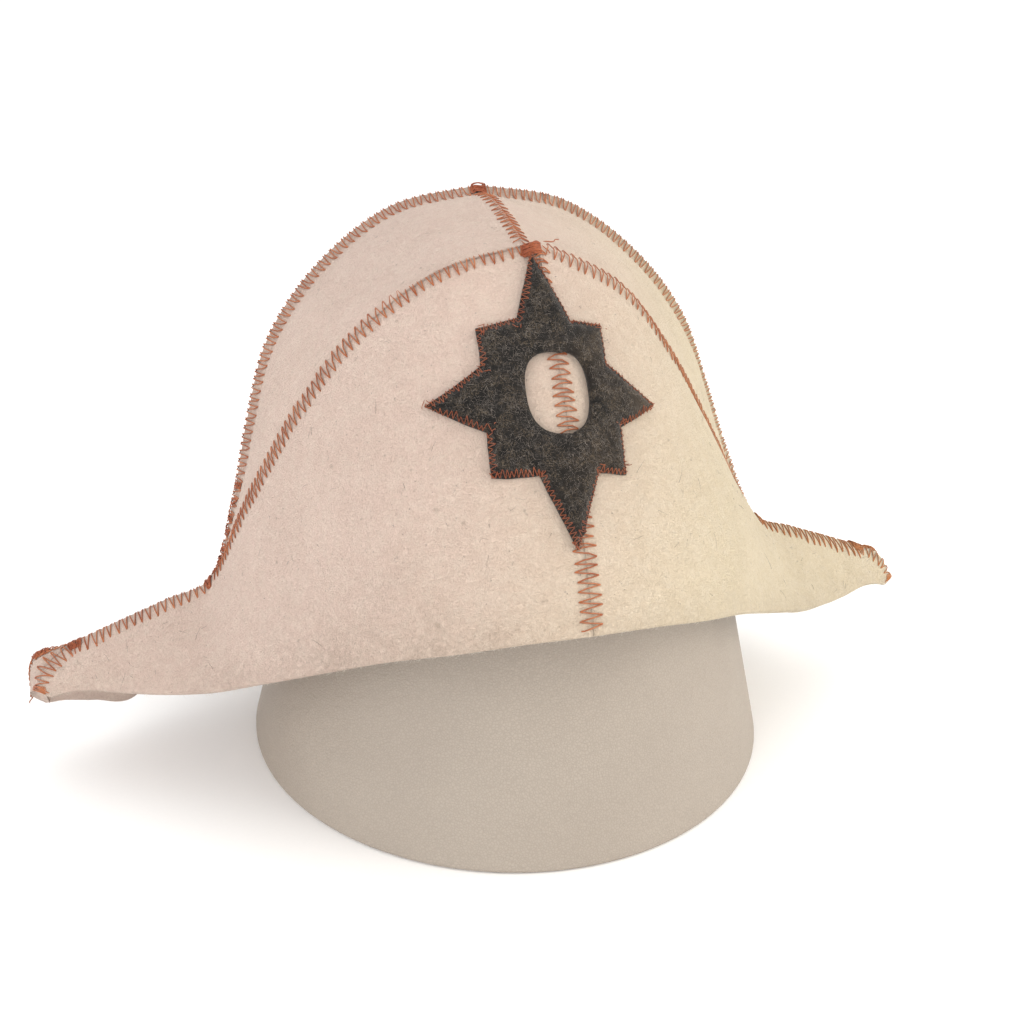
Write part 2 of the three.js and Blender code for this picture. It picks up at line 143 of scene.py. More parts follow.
def along(values, place):
    padded = np.concatenate([[2 * values[0] - values[1]], values, [2 * values[-1] - values[-2]]])
    return spline(padded, np.asarray(place, float))


def tableOf(columns):
    return {key: np.array(value, float) for key, value in columns.items()}


def makeLines():
    # For each face and side: the upper seam and the rim as x, y and z at every station, and the swell between
    made = {}
    crown, wing, rim = tableOf(crownTable), tableOf(wingTable), tableOf(rimTable)
    halfLength, root = hat["length"] / 2, hat["rootHeight"]
    for face, side in corners:
        word = "back" if face > 0 else "front"
        name = "back" if face > 0 else ("left" if side < 0 else "right")
        drop = hat["backDrop"][side] if face > 0 else 0
        reach = hat["backReach"][side] if face > 0 else 0
        made[face, side] = {
            "top": (
                np.concatenate([crown[name + "Along"] * hat["crownWidth"] / 2,
                                wing["along"] * halfLength + wing["reach"] * reach]),
                np.concatenate([crown["strip"] * hat["stripWidth"] / 2, wing["apart"] * hat["tipWidth"] / 2]),
                np.concatenate([root + crown[name + "Up"] * hat["crownRise"],
                                root - wing["down"] * hat["ridgeDrop"] - wing["sag"] * drop])),
            "rim": (
                rim["along"] * halfLength + rim["reach"] * reach,
                rim[word + "Out"] * hat["rimDepth"] / 2,
                hat["rimHeight"] - rim[word + "Down"] * hat["rimDrop"] - rim["hang"] * drop),
            "swell": rim[word + "Swell"],
        }
    return made


lines = makeLines()


def lengthOf(vectors):
    return np.linalg.norm(vectors, axis=-1)


def unit(vectors):
    return vectors / np.maximum(lengthOf(vectors), 1e-9)[..., None]


def bell(away, width):
    return np.exp(-(away / width) ** 2)


def floats(first, second):
    return np.broadcast_arrays(np.asarray(first, float), np.asarray(second, float))


def onLine(line, place):
    x, y, z = line
    return np.stack([along(x, place), np.maximum(along(y, place), 0), along(z, place)], -1)


def panelHeight(face, side, place):
    line = lines[face, side]
    return lengthOf(onLine(line["top"], place) - onLine(line["rim"], place))


def dentAt(face, x, z):
    depth = np.zeros_like(x)
    for rowFace, fromAcross, fromUp, toAcross, toUp, width, deep in dents:
        if rowFace != face:
            continue
        startX, startZ = fromAcross * hat["length"] / 2, fromUp * hat["rootHeight"]
        runX = (toAcross - fromAcross) * hat["length"] / 2
        runZ = (toUp - fromUp) * hat["rootHeight"]
        near = np.clip(((x - startX) * runX + (z - startZ) * runZ) / (runX ** 2 + runZ ** 2), 0, 1)
        away = np.hypot(x - startX - near * runX, z - startZ - near * runZ)
        depth += deep * bell(away, width)
    return depth


def panelPoint(face, side, place, rise):
    # Rise runs from 0 at the rim to 1 at the upper seam
    place, rise = floats(place, rise)
    line = lines[face, side]
    step = 0.05
    low = onLine(line["rim"], place)
    high = onLine(line["top"], place)
    ahead = onLine(line["rim"], place + step) + onLine(line["top"], place + step)
    behind = onLine(line["rim"], place - step) + onLine(line["top"], place - step)
    out = unit(np.cross(high - low, ahead - behind))
    point = low + (high - low) * rise[..., None]
    swell = along(line["swell"], place) * 4 * rise * (1 - rise)
    fade = np.sin(np.pi * np.clip(rise, 0, 1))
    dent = dentAt(face, side * point[..., 0], point[..., 2]) * fade
    point = point + out * (swell - dent)[..., None]
    return point * np.array([side, face, 1])


def betweenSeams(side, place, over):
    front = onLine(lines[-1, side]["top"], place)
    back = onLine(lines[1, side]["top"], place)
    share = (over + 1) / 2
    x = front[..., 0] + (back[..., 0] - front[..., 0]) * share
    y = -front[..., 1] + (back[..., 1] + front[..., 1]) * share
    z = front[..., 2] + (back[..., 2] - front[..., 2]) * share
    return x, y, z, front[..., 1] + back[..., 1]


def stripPoint(side, place, over, slid=1):
    # Over runs from -1 at the front seam to 1 at the back seam
    place, over = floats(place, over)
    x, y, z, width = betweenSeams(side, place, over)
    fromBack = (1 - over) * width / 2 / 4.5
    lip = hat["backLip"][side] * fromBack * np.exp(1 - fromBack) * np.clip(width / 30, 0, 1)
    swell = 0.022 * width * (1 - over ** 2) - lip
    up = z - hat["rootHeight"]
    reach = np.maximum(np.hypot(x, up), 1e-6)
    slide = slid * hat["seamSlide"] * (1 - over) / 2 * np.clip(1 - place / 2.5, 0, 1) ** 2
    return np.stack([side * (x + swell * x / reach) - slide, y, z + swell * up / reach], -1)


def tipPoint(side, place, over):
    place, over = floats(place, over)
    x, y, z, width = betweenSeams(side, place, over)
    swell = 0.12 * width * (1 - over ** 2)
    return np.stack([side * (x + swell), y, z + swell * 0.6], -1)


def outward(surface, a, b, sign):
    step = 0.02
    overA = surface(a + step, b) - surface(a - step, b)
    overB = surface(a, b + step) - surface(a, b - step)
    return unit(np.cross(overA, overB) * sign)


def panelOut(face, side, place, rise):
    place, rise = np.asarray(place, float), np.clip(rise, 0.02, 0.98)
    return outward(partial(panelPoint, face, side), place, rise, -face * side)


def stripOut(side, place, over):
    place, over = np.minimum(np.asarray(place, float), 5.85), np.asarray(over) * 0.98
    return outward(partial(stripPoint, side), place, over, side)


def tipOut(side, place, over):
    place, over = np.maximum(np.asarray(place, float), 9.3), np.asarray(over) * 0.98
    return outward(partial(tipPoint, side), place, over, side)


# The hat leans a little and nods forward
nod, lean = (Matrix.Rotation(math.radians(hat[key]), 3, axis) for key, axis in (("nod", "X"), ("lean", "Y")))
tilt = np.array(nod @ lean)
pivot = np.array([0, 0, hat["rootHeight"] - hat["ridgeDrop"]])


def settled(points):
    return (np.asarray(points) - pivot) @ tilt.T + pivot + shift


# Meshes

def addObject(name, data):
    made = bpy.data.objects.new(name, data)
    bpy.context.scene.collection.objects.link(made)
    return made


def makeObject(name, points, faces, material, attributes=None, smooth=True):
    mesh = bpy.data.meshes.new(name)
    mesh.from_pydata((np.asarray(points) / 1000).tolist(), [], faces)
    mesh.update()
    if smooth:
        mesh.polygons.foreach_set("use_smooth", [True] * len(mesh.polygons))
    for key, values in (attributes or {}).items():
        mesh.attributes.new(key, "FLOAT", "POINT").data.foreach_set("value", np.asarray(values, "f"))
    mesh.materials.append(material)
    return addObject(name, mesh)


def lumps(points, size, seed):
    offset = Vector((seed * 13.7, seed * 7.1, seed * 3.3))
    values = [noise.noise(Vector(point) / size + offset) for point in points.reshape(-1, 3)]
    return np.array(values).reshape(points.shape[:-1])


def loopFaces(loops, size, start=0, closed=False, flip=False):
    # Joins each loop of points to the next one, and the last to the first where closed
    faces = []
    for i in range(loops if closed else loops - 1):
        here, there = start + i * size, start + (i + 1) % loops * size
        for j in range(size):
            k = (j + 1) % size
            a, b, c, d = here + j, there + j, there + k, here + k
            faces.append((a, d, c, b) if flip else (a, b, c, d))
    return faces


# Shader nodes

class Wire:
    def __init__(self, paint, output):
        self.paint = paint
        self.output = output

    def calc(self, operation, first, second):
        return self.paint.node("ShaderNodeMath", {"operation": operation}, {0: first, 1: second})

    def __add__(self, other):
        return self.calc("ADD", self, other)

    def __sub__(self, other):
        return self.calc("SUBTRACT", self, other)

    def __rsub__(self, other):
        return self.calc("SUBTRACT", other, self)

    def __mul__(self, other):
        return self.calc("MULTIPLY", self, other)
    __radd__ = __add__
    __rmul__ = __mul__


class Paint:
    def __init__(self, name, **shader):
        self.material = bpy.data.materials.new(name)
        self.material.use_nodes = True
        self.tree = self.material.node_tree
        self.tree.nodes.clear()
        self.shader = self.tree.nodes.new("ShaderNodeBsdfPrincipled")
        output = self.tree.nodes.new("ShaderNodeOutputMaterial")
        self.tree.links.new(self.shader.outputs[0], output.inputs["Surface"])
        for key, value in shader.items():
            self.shader.inputs[key.replace("_", " ")].default_value = value
        self.place = self.node("ShaderNodeTexCoord", out="Object")

    def node(self, kind, settings=None, sockets=None, out=0):
        item = self.tree.nodes.new(kind)
        for key, value in (settings or {}).items():
            if key == "stops":
                for spare in range(len(value) - 2):
                    item.color_ramp.elements.new(0.5)
                for stop, (spot, colour) in zip(item.color_ramp.elements, value):
                    stop.position = spot
                    stop.color = colour
            else:
                setattr(item, key, value)
        for key, value in (sockets or {}).items():
            if isinstance(value, Wire):
                self.tree.links.new(value.output, item.inputs[key])
            else:
                item.inputs[key].default_value = value
        return Wire(self, item.outputs[out])

    def feed(self, **inputs):
        for key, value in inputs.items():
            self.tree.links.new(value.output, self.shader.inputs[key.replace("_", " ")])

    def noise(self, scale, detail=2, roughness=0.5, distortion=0):
        return self.node("ShaderNodeTexNoise", {}, {
            "Vector": self.place, "Scale": scale, "Detail": detail,
            "Roughness": roughness, "Distortion": distortion})

    def range(self, value, low, high, toLow=0, toHigh=1):
        return self.node("ShaderNodeMapRange", {"interpolation_type": "SMOOTHSTEP"}, {
            0: value, 1: low, 2: high, 3: toLow, 4: toHigh})

    def axis(self, letter):
        return self.node("ShaderNodeSeparateXYZ", {}, {"Vector": self.place}, out=letter)

    def patches(self, low, high, *noise):
        return self.range(self.noise(*noise), low, high)

    def curls(self, scale, width, distortion=2.0, detail=1):
        # Thin curly lines, where a noise crosses its middle value
        wave = self.noise(scale, detail, 0.5, distortion) - 0.5
        size = self.node("ShaderNodeMath", {"operation": "ABSOLUTE"}, {0: wave})
        return self.range(size, 0, width, 1, 0)

    def blend(self, factor, first, second):
        first, second = (linear(value) if isinstance(value, str) else value for value in (first, second))
        return self.node("ShaderNodeMix", {"data_type": "RGBA"}, {0: factor, 6: first, 7: second}, out=2)

    def attribute(self, name):
        return self.node("ShaderNodeAttribute", {"attribute_name": name}, {}, out="Fac")

    def bump(self, height, distance, strength=1, under=None):
        sockets = {"Height": height, "Distance": distance, "Strength": strength}
        if under:
            sockets["Normal"] = under
        return self.node("ShaderNodeBump", {}, sockets)


def linear(colour):
    value = [int(colour[i:i + 2], 16) / 255 for i in (1, 3, 5)]
    return (*(v / 12.92 if v < 0.04045 else ((v + 0.055) / 1.055) ** 2.4 for v in value), 1)


# Felt: pale pressed wool with lighter and darker fibres

feltLook = {
    "leftTone": "#dec6b9", "leftDeep": "#cdb4a6",
    "rightTone": "#decfb3", "rightDeep": "#cdbd9f",
    "soil": "#8f7d6d", "fleck": "#6e6159", "lightFibre": "#e6dccb", "turn": (-0.13, 0.015),
}


def feltPaint(name, seed=0):
    paint = Paint(name, Roughness=0.95, Specular_IOR_Level=0.15, Sheen_Weight=0.15, Sheen_Roughness=0.45)
    # The felt turns from pinkish on the left to yellowish low on the right: partly the felt's own two colours,
    # partly painted warm light from the right
    yellowFeltAndWarmLight = paint.range(paint.axis("X") - 0.5 * paint.axis("Z"), *feltLook["turn"])
    tone = paint.blend(yellowFeltAndWarmLight, feltLook["leftTone"], feltLook["rightTone"])
    deep = paint.blend(yellowFeltAndWarmLight, feltLook["leftDeep"], feltLook["rightDeep"])
    cloud = paint.patches(0.32, 0.68, 38, 3, 0.55)
    curdle = paint.patches(0.34, 0.66, 620, 5, 0.75, 0.4)
    grain = paint.patches(0.32, 0.68, 2100, 2, 0.7, 0.3)
    fibreA = paint.curls(1150, 0.09, 1.6)
    fibreB = paint.curls(1600, 0.1, 1.2, 2)
    fibre = paint.node("ShaderNodeMath", {"operation": "MAXIMUM"}, {0: fibreA, 1: fibreB * 0.8})
    colour = paint.blend(cloud * 0.25 + curdle * 0.3 + grain * 0.55, tone, deep)
    here = paint.patches(0.40, 0.62, 230 + 20 * seed)
    colour = paint.blend(fibre * (0.06 + 0.22 * here), colour, feltLook["lightFibre"])
    # Darker hairs and specks pressed into the felt
    hair = paint.curls(170 + 30 * seed, 0.012, 1.2) * paint.patches(0.62, 0.69, 200)
    speck = paint.patches(0.70, 0.78, 1000)
    spot = paint.patches(0.74, 0.80, 330, 1)
    # Darker along the rims and seams, which is painted shade, and in a patch of real soil low on the front
    # left
    wornAndShaded = paint.attribute("soil") * (0.35 + 0.65 * curdle)
    for factor, tint in ((hair * 0.5, "fleck"), (speck * 0.5, "fleck"), (spot * 0.35, "soil"), (wornAndShaded, "soil")):
        colour = paint.blend(factor, colour, feltLook[tint])
    soft = paint.bump(grain, 0.0003, 0.5, paint.bump(curdle, 0.0006, 0.5))
    paint.feed(Base_Color=colour, Normal=paint.bump(fibre, 0.0003, 0.6, soft))
    return paint.material


starLook = {"pale": "#262321", "deep": "#171615", "fibreA": "#6f6862", "fibreB": "#756756", "warm": "#7d6a55"}


def heatherPaint():
    paint = Paint("darkHeatherFelt", Roughness=0.95, Specular_IOR_Level=0.12,
                  Sheen_Weight=0.10, Sheen_Roughness=0.5)
    fibreA = paint.curls(620, 0.05, 2.2)
    fibreB = paint.curls(820, 0.055, 1.8)
    cloud = paint.patches(0.35, 0.68, 90, 4, 0.6)
    curdle = paint.patches(0.38, 0.66, 600, 4, 0.65, 0.8)
    maskA = paint.patches(0.42, 0.62, 330, 2, 0.5, 0.5)
    maskB = paint.patches(0.58, 0.42, 260, 2, 0.5, 0.5)
    # Warmer in patches towards the right: painted warm light from the right
    warm = paint.range(paint.axis("X"), -0.02, 0.045) * paint.patches(0.3, 0.7, 60, 3, 0.6)
    colour = paint.blend(cloud * 0.4 + curdle * 0.6, starLook["deep"], starLook["pale"])
    colour = paint.blend(fibreA * maskA * 0.55, colour, starLook["fibreA"])
    colour = paint.blend(fibreB * maskB * 0.5, colour, starLook["fibreB"])
    colour = paint.blend(warm * 0.22, colour, starLook["warm"])
    soft = paint.bump(paint.noise(420, 4, 0.6, 0.4), 0.0010, 0.5)
    paint.feed(Base_Color=colour, Normal=paint.bump(fibreA, 0.0003, 0.6, soft))
    return paint.material


threadLook = {
    "rust": ("#a45a34", "#bd7850", "#6f3519"), "dark": ("#94492a", "#ad5f3a", "#552614"), "warmRightLight": "#bb8447",
}


def threadPaint(name, deep, pale, dark):
    paint = Paint(name, Roughness=0.6, Specular_IOR_Level=0.35, Sheen_Weight=0.15, Sheen_Roughness=0.4)
    ply = paint.attribute("ply")
    colour = paint.blend(paint.patches(0.3, 0.7, 150), deep, pale)
    # Yellower towards the right: painted warm light from the right
    colour = paint.blend(paint.range(paint.axis("X"), 0.0, 0.12) * 0.5, colour, threadLook["warmRightLight"])
    # Darker between the plies: painted shade in the twist's grooves
    colour = paint.blend((1 - ply) * 0.55, colour, dark)
    paint.feed(Base_Color=colour, Normal=paint.bump(ply, 0.00012, 0.6))
    return paint.material


def fibrePaint(name, colour):
    paint = Paint(name, Roughness=0.85, Specular_IOR_Level=0.2)
    darker = (*(0.8 * value for value in linear(colour)[:3]), 1)
    paint.feed(Base_Color=paint.blend(paint.noise(300, 1), colour, darker))
    return paint.material


standLook = {"pale": "#a69b8f", "deep": "#9a8f84", "grain": "#867c71", "grainSize": 1000, "crinkleSize": 170}


def standPaint():
    paint = Paint("standGrain", Roughness=0.5, Specular_IOR_Level=0.4)
    cell = paint.node("ShaderNodeTexVoronoi", {"feature": "DISTANCE_TO_EDGE"}, {
        "Vector": paint.place, "Scale": standLook["grainSize"], "Randomness": 1})
    grain = paint.range(cell, 0.0, 0.22)
    crinkle = paint.noise(standLook["crinkleSize"], 5, 0.62, 0.7)
    cloud = paint.patches(0.3, 0.7, 22, 3)
    colour = paint.blend(cloud * 0.35, standLook["pale"], standLook["deep"])
    colour = paint.blend((1 - grain) * 0.3, colour, standLook["grain"])
    paint.feed(Base_Color=colour, Roughness=0.5 + 0.06 * cloud)
    soft = paint.bump(crinkle, 0.0009, 0.5)
    paint.feed(Normal=paint.bump(grain, 0.00014, 0.5, soft))
    return paint.material


pinkFelt = feltPaint("pinkFelt")
yellowFelt = feltPaint("yellowFelt", 0.6)
backFelt = feltPaint("backFelt", 1.1)
darkFelt = heatherPaint()
rustThread = threadPaint("rustThread", *threadLook["rust"])
# The darker thread is painted shade where the knots' stitches pile over each other; the star's stitching is
# sewn with it too
darkThread = threadPaint("darkThread", *threadLook["dark"])
paleFibre = fibrePaint("paleFibre", "#efe6d8")
greyFibre = fibrePaint("greyFibre", "#6b6058")
ashFibre = fibrePaint("ashFibre", "#9a8f86")
print("stage: materials made")

# Felt pieces

felt = {
    "rimRound": 0.7, "bigLump": 0.35, "bigLumpSize": 15, "smallLump": 0.13, "smallLumpSize": 4.5,
    "seamSink": 0.15, "seamGroove": 0.14, "bandWidth": 5.6, "bandEdge": 2.4, "foldWidth": 3, "clearance": 0.08,
    "smoothEdge": 4, "smoothTurn": 8, "leastSlope": 0.55, "middleGap": 0.03, "faceGap": 0.02,
    "stripTaper": 0.9, "stripThin": 0.35, "tipSink": 0.2, "tipEdgeDrop": 0.3, "tipSoil": 0.12,
}

panelPlaces = np.concatenate([
    np.linspace(0, crownStop, 112), np.linspace(crownEnd, tipBegin, 46), np.linspace(9.12, tipEnd, 30)])
riseSteps = np.array([
    1, 0.996, 0.992, 0.987, 0.981, 0.974, 0.965, 0.953, 0.938, 0.92, 0.895, 0.87, 0.84, 0.81, 0.78,
    *np.linspace(0.745, 0.185, 17), 0.155, 0.125, 0.1, 0.075, 0.055, 0.038, 0.025, 0.015, 0.007, 0])


def bandAt(away):
    return np.clip((felt["bandWidth"] - away) / felt["bandEdge"], 0, 1)


def seamDip(away, groove=1.0):
    band = bandAt(away)
    band = band * band * (3 - 2 * band)
    return (felt["seamSink"] * band + felt["seamGroove"] * bell(away, 1.1)) * groove


def centreDip(away):
    return felt["seamSink"] * bandAt(away) + 1.3 * felt["seamGroove"] * bell(away, 0.8)


def sunkSeam(outer, outs, cut, away, groove=1.0):
    # Sinks the felt along a seam, in the direction of the cut edge where it is near
    lean = bell(away, felt["foldWidth"])[..., None]
    return outer - unit(outs * (1 - lean) + cut * lean) * seamDip(away, groove)[..., None]


def cutReach(cut, out, thick):
    # How far the cut edge runs through felt of a thickness
    return (thick / np.maximum(np.sum(cut * out, -1), felt["leastSlope"]))[:, None]


def unevenness(points, away, seed):
    # Large and small lumps that fade out towards the seams
    big = felt["bigLump"] * lumps(points, felt["bigLumpSize"], seed)
    small = felt["smallLump"] * lumps(points, felt["smallLumpSize"], seed + 1)
    return (big + small) * np.clip((away - felt["smoothEdge"]) / felt["smoothTurn"], 0, 1)


def feltObject(name, outer, edge, inner, flip, soilsAndShade, material):
    # Loops of points run over the outer face, round the edge and back over the inner face
    sections = np.concatenate([outer, edge, inner[:, ::-1]], 1)
    wide, tall = sections.shape[:2]
    faces = loopFaces(wide, tall)
    # Each end is filled from the outer face to the inner one
    for start, last in ((0, False), (wide * tall - tall, True)):
        for j in range(outer.shape[1] + (edge.shape[1] + 1) // 2 - 1):
            a, b = start + j, start + j + 1
            c, d = start + tall - 1 - j, start + tall - 2 - j
            faces.append((a, b, d, c) if last else (a, c, d, b))
    if flip:
        faces = [tuple(reversed(face)) for face in faces]
    edgeSoilAndShade = np.repeat(soilsAndShade[:, -1:], edge.shape[1], 1)
    soilsAndShade = np.concatenate([soilsAndShade, edgeSoilAndShade, soilsAndShade[:, ::-1]], 1)
    points = settled(sections.reshape(-1, 3))
    return makeObject(name, points, faces, material, {"soil": soilsAndShade.reshape(-1)})


def feltPanel(name, face, side, material):
    places, rises = np.meshgrid(panelPlaces, riseSteps, indexing="ij")
    surface = partial(panelPoint, face, side)
    points, outs = surface(places, rises), panelOut(face, side, places, rises)
    height = panelHeight(face, side, places)
    fromRim, fromSeam = rises * height, (1 - rises) * height
    fromMiddle = np.abs(points[..., 0])
    lump = unevenness(points, np.minimum(fromSeam, fromMiddle), 1)
    middleDip = np.where(places < 3, centreDip(fromMiddle), 0)
    thick = hat["thickness"]
    outer = points + outs * (lump - middleDip)[..., None]
    inner = points - outs * (thick - 0.4 * lump)[..., None]
    # The seam edge is cut half way between its own direction and its neighbour's
    top = outs[:, 0]
    crown, tips = panelPlaces <= crownStop, panelPlaces >= 9.05
    ridge = ~(crown | tips)
    other = top.copy()
    other[crown] = stripOut(side, panelPlaces[crown], face * 1.0)
    other[tips] = tipOut(side, panelPlaces[tips], face * 1.0)
    cut = unit(top + other)
    cut[ridge] = unit(top[ridge] * np.array([1, 0, 1]))
    shallow = 1 - 0.75 * np.clip((places - 5.5) * 2, 0, 1)
    outer = sunkSeam(outer, outs, cut[:, None], fromSeam, shallow)
    reach = cutReach(cut, top, thick)
    slide = points[:, 0] - cut * reach - inner[:, 0]
    inner = inner + slide[:, None] * np.clip(1 - fromSeam / (reach * 1.6), 0, 1)[..., None]
    clear = felt["clearance"] * np.where(ridge, 0.1, 1)[:, None]
    inner[:, 0] += unit(surface(panelPlaces, 0.9) - points[:, 0]) * clear
    # The cut rim is rounded
    rim, rimOut = points[:, -1], outs[:, -1] * thick / 2
    down = unit(surface(panelPlaces, -0.02) - surface(panelPlaces, 0.02)) * felt["rimRound"]
    angles = [math.radians(degrees) for degrees in range(30, 151, 30)]
    edge = np.stack([rim - rimOut + rimOut * math.cos(a) + down * math.sin(a) for a in angles], 1)
    outer[:, -1] -= outs[:, -1] * 0.1
    # The halves meet in the middle, and front and back keep clear of each other
    for part in (outer, edge, inner):
        part[0, :, 0] = side * felt["middleGap"]
        part[..., 1] = face * np.maximum(face * part[..., 1], felt["faceGap"])
    soilsAndShade = soilAndShadeAt(face, side, points, fromRim, fromSeam)
    return feltObject(name, outer, edge, inner, face * side > 0, soilsAndShade, material)


# How much darker the felt is painted: the bands along the rim and the seams are painted shade, the patch low
# on the front left is soil, and the strip's blotches vary at random
soil = {
    "rim": 0.22, "rimWidth": 7, "seam": 0.12, "seamWidth": 3, "strip": 0.08,
    "patch": 0.30, "patchMiddle": -62, "patchWidth": 42, "patchRise": 26,
}


def soilAndShadeAt(face, side, points, fromRim, fromSeam):
    rubbedAndShaded = soil["rim"] * bell(fromRim, soil["rimWidth"]) + soil["seam"] * bell(fromSeam, soil["seamWidth"])
    if face < 0 and side < 0:
        across = bell(points[..., 0] - soil["patchMiddle"], soil["patchWidth"])
        rubbedAndShaded = rubbedAndShaded + soil["patch"] * across * bell(fromRim, soil["patchRise"])
    return np.clip(rubbedAndShaded * (0.8 + 0.5 * lumps(points, 11, 5)), 0, 1)


def feltStrip(name, side, material):
    stripPlaces = np.linspace(0, crownStop, 100)
    edgeSteps = np.array([0.905, 0.94, 0.965, 0.985, 1])
    overSteps = np.concatenate([-edgeSteps[::-1], np.linspace(-0.86, 0.86, 24), edgeSteps])
    places, overs = np.meshgrid(stripPlaces, overSteps, indexing="ij")
    surface = partial(stripPoint, side)
    points, outs = surface(places, overs), stripOut(side, places, overs)
    half = lengthOf(surface(places, 0.9) - surface(places, -0.9)) / 1.8
    fromSeam = (1 - np.abs(overs)) * half
    fromMiddle = np.abs(points[..., 0] - surface(0, overs)[..., 0])
    lump = unevenness(points, np.minimum(fromSeam, fromMiddle), 3)
    taper = np.clip((crownEnd - places) * felt["stripTaper"], felt["stripThin"], 1)
    thick = hat["thickness"] * taper
    outer = points + outs * (lump - centreDip(fromMiddle) * taper)[..., None]
    inner = points - outs * thick[..., None]
    for j, over in ((0, -1), (-1, 1)):
        other = panelOut(over, side, stripPlaces, 0.98)
        outer = sunkSeam(outer, outs, unit(outs + other[:, None]), (1 - over * overs) * half)
        cut = unit(outs[:, j] + other)
        pulled = unit(surface(stripPlaces, over * 0.7) - points[:, j]) * felt["clearance"]
        inner[:, j] = points[:, j] - cut * cutReach(cut, outs[:, j], thick[:, j]) + pulled
    for part in (outer, inner):
        part[0, :, 0] += side * felt["middleGap"]
    # Painted shade along the seams, and random blotches
    soilsAndShade = soil["seam"] * bell(fromSeam, soil["seamWidth"]) + soil["strip"] * lumps(points, 14, 6)
    soilsAndShade = np.clip(soilsAndShade, 0, 1)
    return feltObject(name, outer, outer[:, :0], inner, side < 0, soilsAndShade, material)


def feltTip(name, side, material):
    tipPlaces = np.linspace(9.2, tipEnd, 26)
    places, overs = np.meshgrid(tipPlaces, np.linspace(-1, 1, 15), indexing="ij")
    surface = partial(tipPoint, side)
    points, outs = surface(places, overs), tipOut(side, places, overs)
    taper = np.clip((places - tipBegin) * 0.9, 0.4, 0.7) + np.clip((places - 10.5) * 3, 0, 1.3)
    lump = felt["smallLump"] * lumps(points, felt["smallLumpSize"], 7)
    outer = points + outs * (lump - felt["tipSink"])[..., None]
    inner = points - outs * (hat["thickness"] * taper)[..., None]
    for j, over in ((0, -1), (-1, 1)):
        pulled = unit(surface(tipPlaces, over * 0.7) - points[:, j]) * hat["gap"]
        inner[:, j] += pulled
        outer[:, j] += pulled - outs[:, j] * felt["tipEdgeDrop"]
    soilsAndShade = np.full(places.shape, felt["tipSoil"])
    return feltObject(name, outer, outer[:, :0], inner, side < 0, soilsAndShade, material)


def stands(piece, node):
    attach(piece, "root")
    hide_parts(node)


for word, side, paint, slot in (("Left", -1, pinkFelt, "felt_pink"), ("Right", 1, yellowFelt, "felt_yellow")):
    low = word.lower()
    stands(feltPanel("front" + word, -1, side, paint), "front_" + low)
    stands(feltPanel("back" + word, 1, side, backFelt), "back_" + low)
    stands(feltStrip("gusset" + word, side, paint), "gusset_" + low)
    stands(feltTip("tip" + word, side, paint), "tip_" + low)
print("stage: felt pieces made")


# The star

def frontAt(place, rise, left):
    return np.where(left, panelPoint(-1, -1, place, rise), panelPoint(-1, 1, place, rise))


def frontPlace(x, z):
    # The place and rise on the front that lie at x and z, found step by step
    left = (x < 0)[..., None]
    place, rise = np.abs(x) / 25, np.full_like(x, 0.5)
    step = 0.01
    for attempt in range(14):
        here = frontAt(place, rise, left)
        byPlace = (frontAt(place + step, rise, left) - here) / step
        byRise = (frontAt(place, rise + step, left) - here) / step
        wantX, wantZ = x - here[..., 0], z - here[..., 2]
        area = byPlace[..., 0] * byRise[..., 2] - byRise[..., 0] * byPlace[..., 2]
        place = np.clip(place + (wantX * byRise[..., 2] - wantZ * byRise[..., 0]) / area, 0, crownEnd)
        rise = rise + (wantZ * byPlace[..., 0] - wantX * byPlace[..., 2]) / area
    return place, rise


def overFront(flat, height):
    # Points at a height over the front, from the star's own coordinates, and their outward directions
    x, z = flat[..., 0] + star["shift"], flat[..., 1] + star["middle"]
    place, rise = frontPlace(x, z)
    left = (x < 0)[..., None]
    near = np.maximum(place, 0.02)
    out = np.where(left, panelOut(-1, -1, near, rise), panelOut(-1, 1, near, rise))
    middle = panelOut(-1, -1, 0.02 + 0 * near, rise) + panelOut(-1, 1, 0.02 + 0 * near, rise)
    blend = np.clip(np.abs(x) / 5, 0, 1)[..., None]
    out = unit(out * blend + unit(middle) * (1 - blend))
    return frontAt(place, rise, left) + out * height[..., None], out


starSize = np.array([star["width"], star["height"]])
holeSize = np.array([star["holeWidth"], star["holeHeight"]])
holeMiddle = np.array([star["holeShift"], star["holeRise"]])
starCorners = np.array(star["outline"]) * starSize / 2
starEdges = list(zip(starCorners, np.roll(starCorners, -1, 0)))


def outlineAway(points):
    # Distance from the star's outline, for points inside it
    best = np.full(points.shape[:-1], 1e9)
    for start, end in starEdges:
        run = end - start
        near = np.clip(np.sum((points - start) * run, -1) / np.sum(run * run), 0, 1)
        best = np.minimum(best, lengthOf(points - start - near[..., None] * run))
    return best


def holeEdge(angle):
    ring = np.stack([np.cos(angle), np.sin(angle)], -1)
    reach = np.sum(np.abs(ring) ** star["holeExponent"], -1) ** (-1 / star["holeExponent"])
    return holeMiddle + reach[..., None] * ring * holeSize / 2


def starHeight(points):
    rise = 1 - bell(outlineAway(points), star["softness"])
    return star["edgeThickness"] + (star["thickness"] - star["edgeThickness"]) * rise


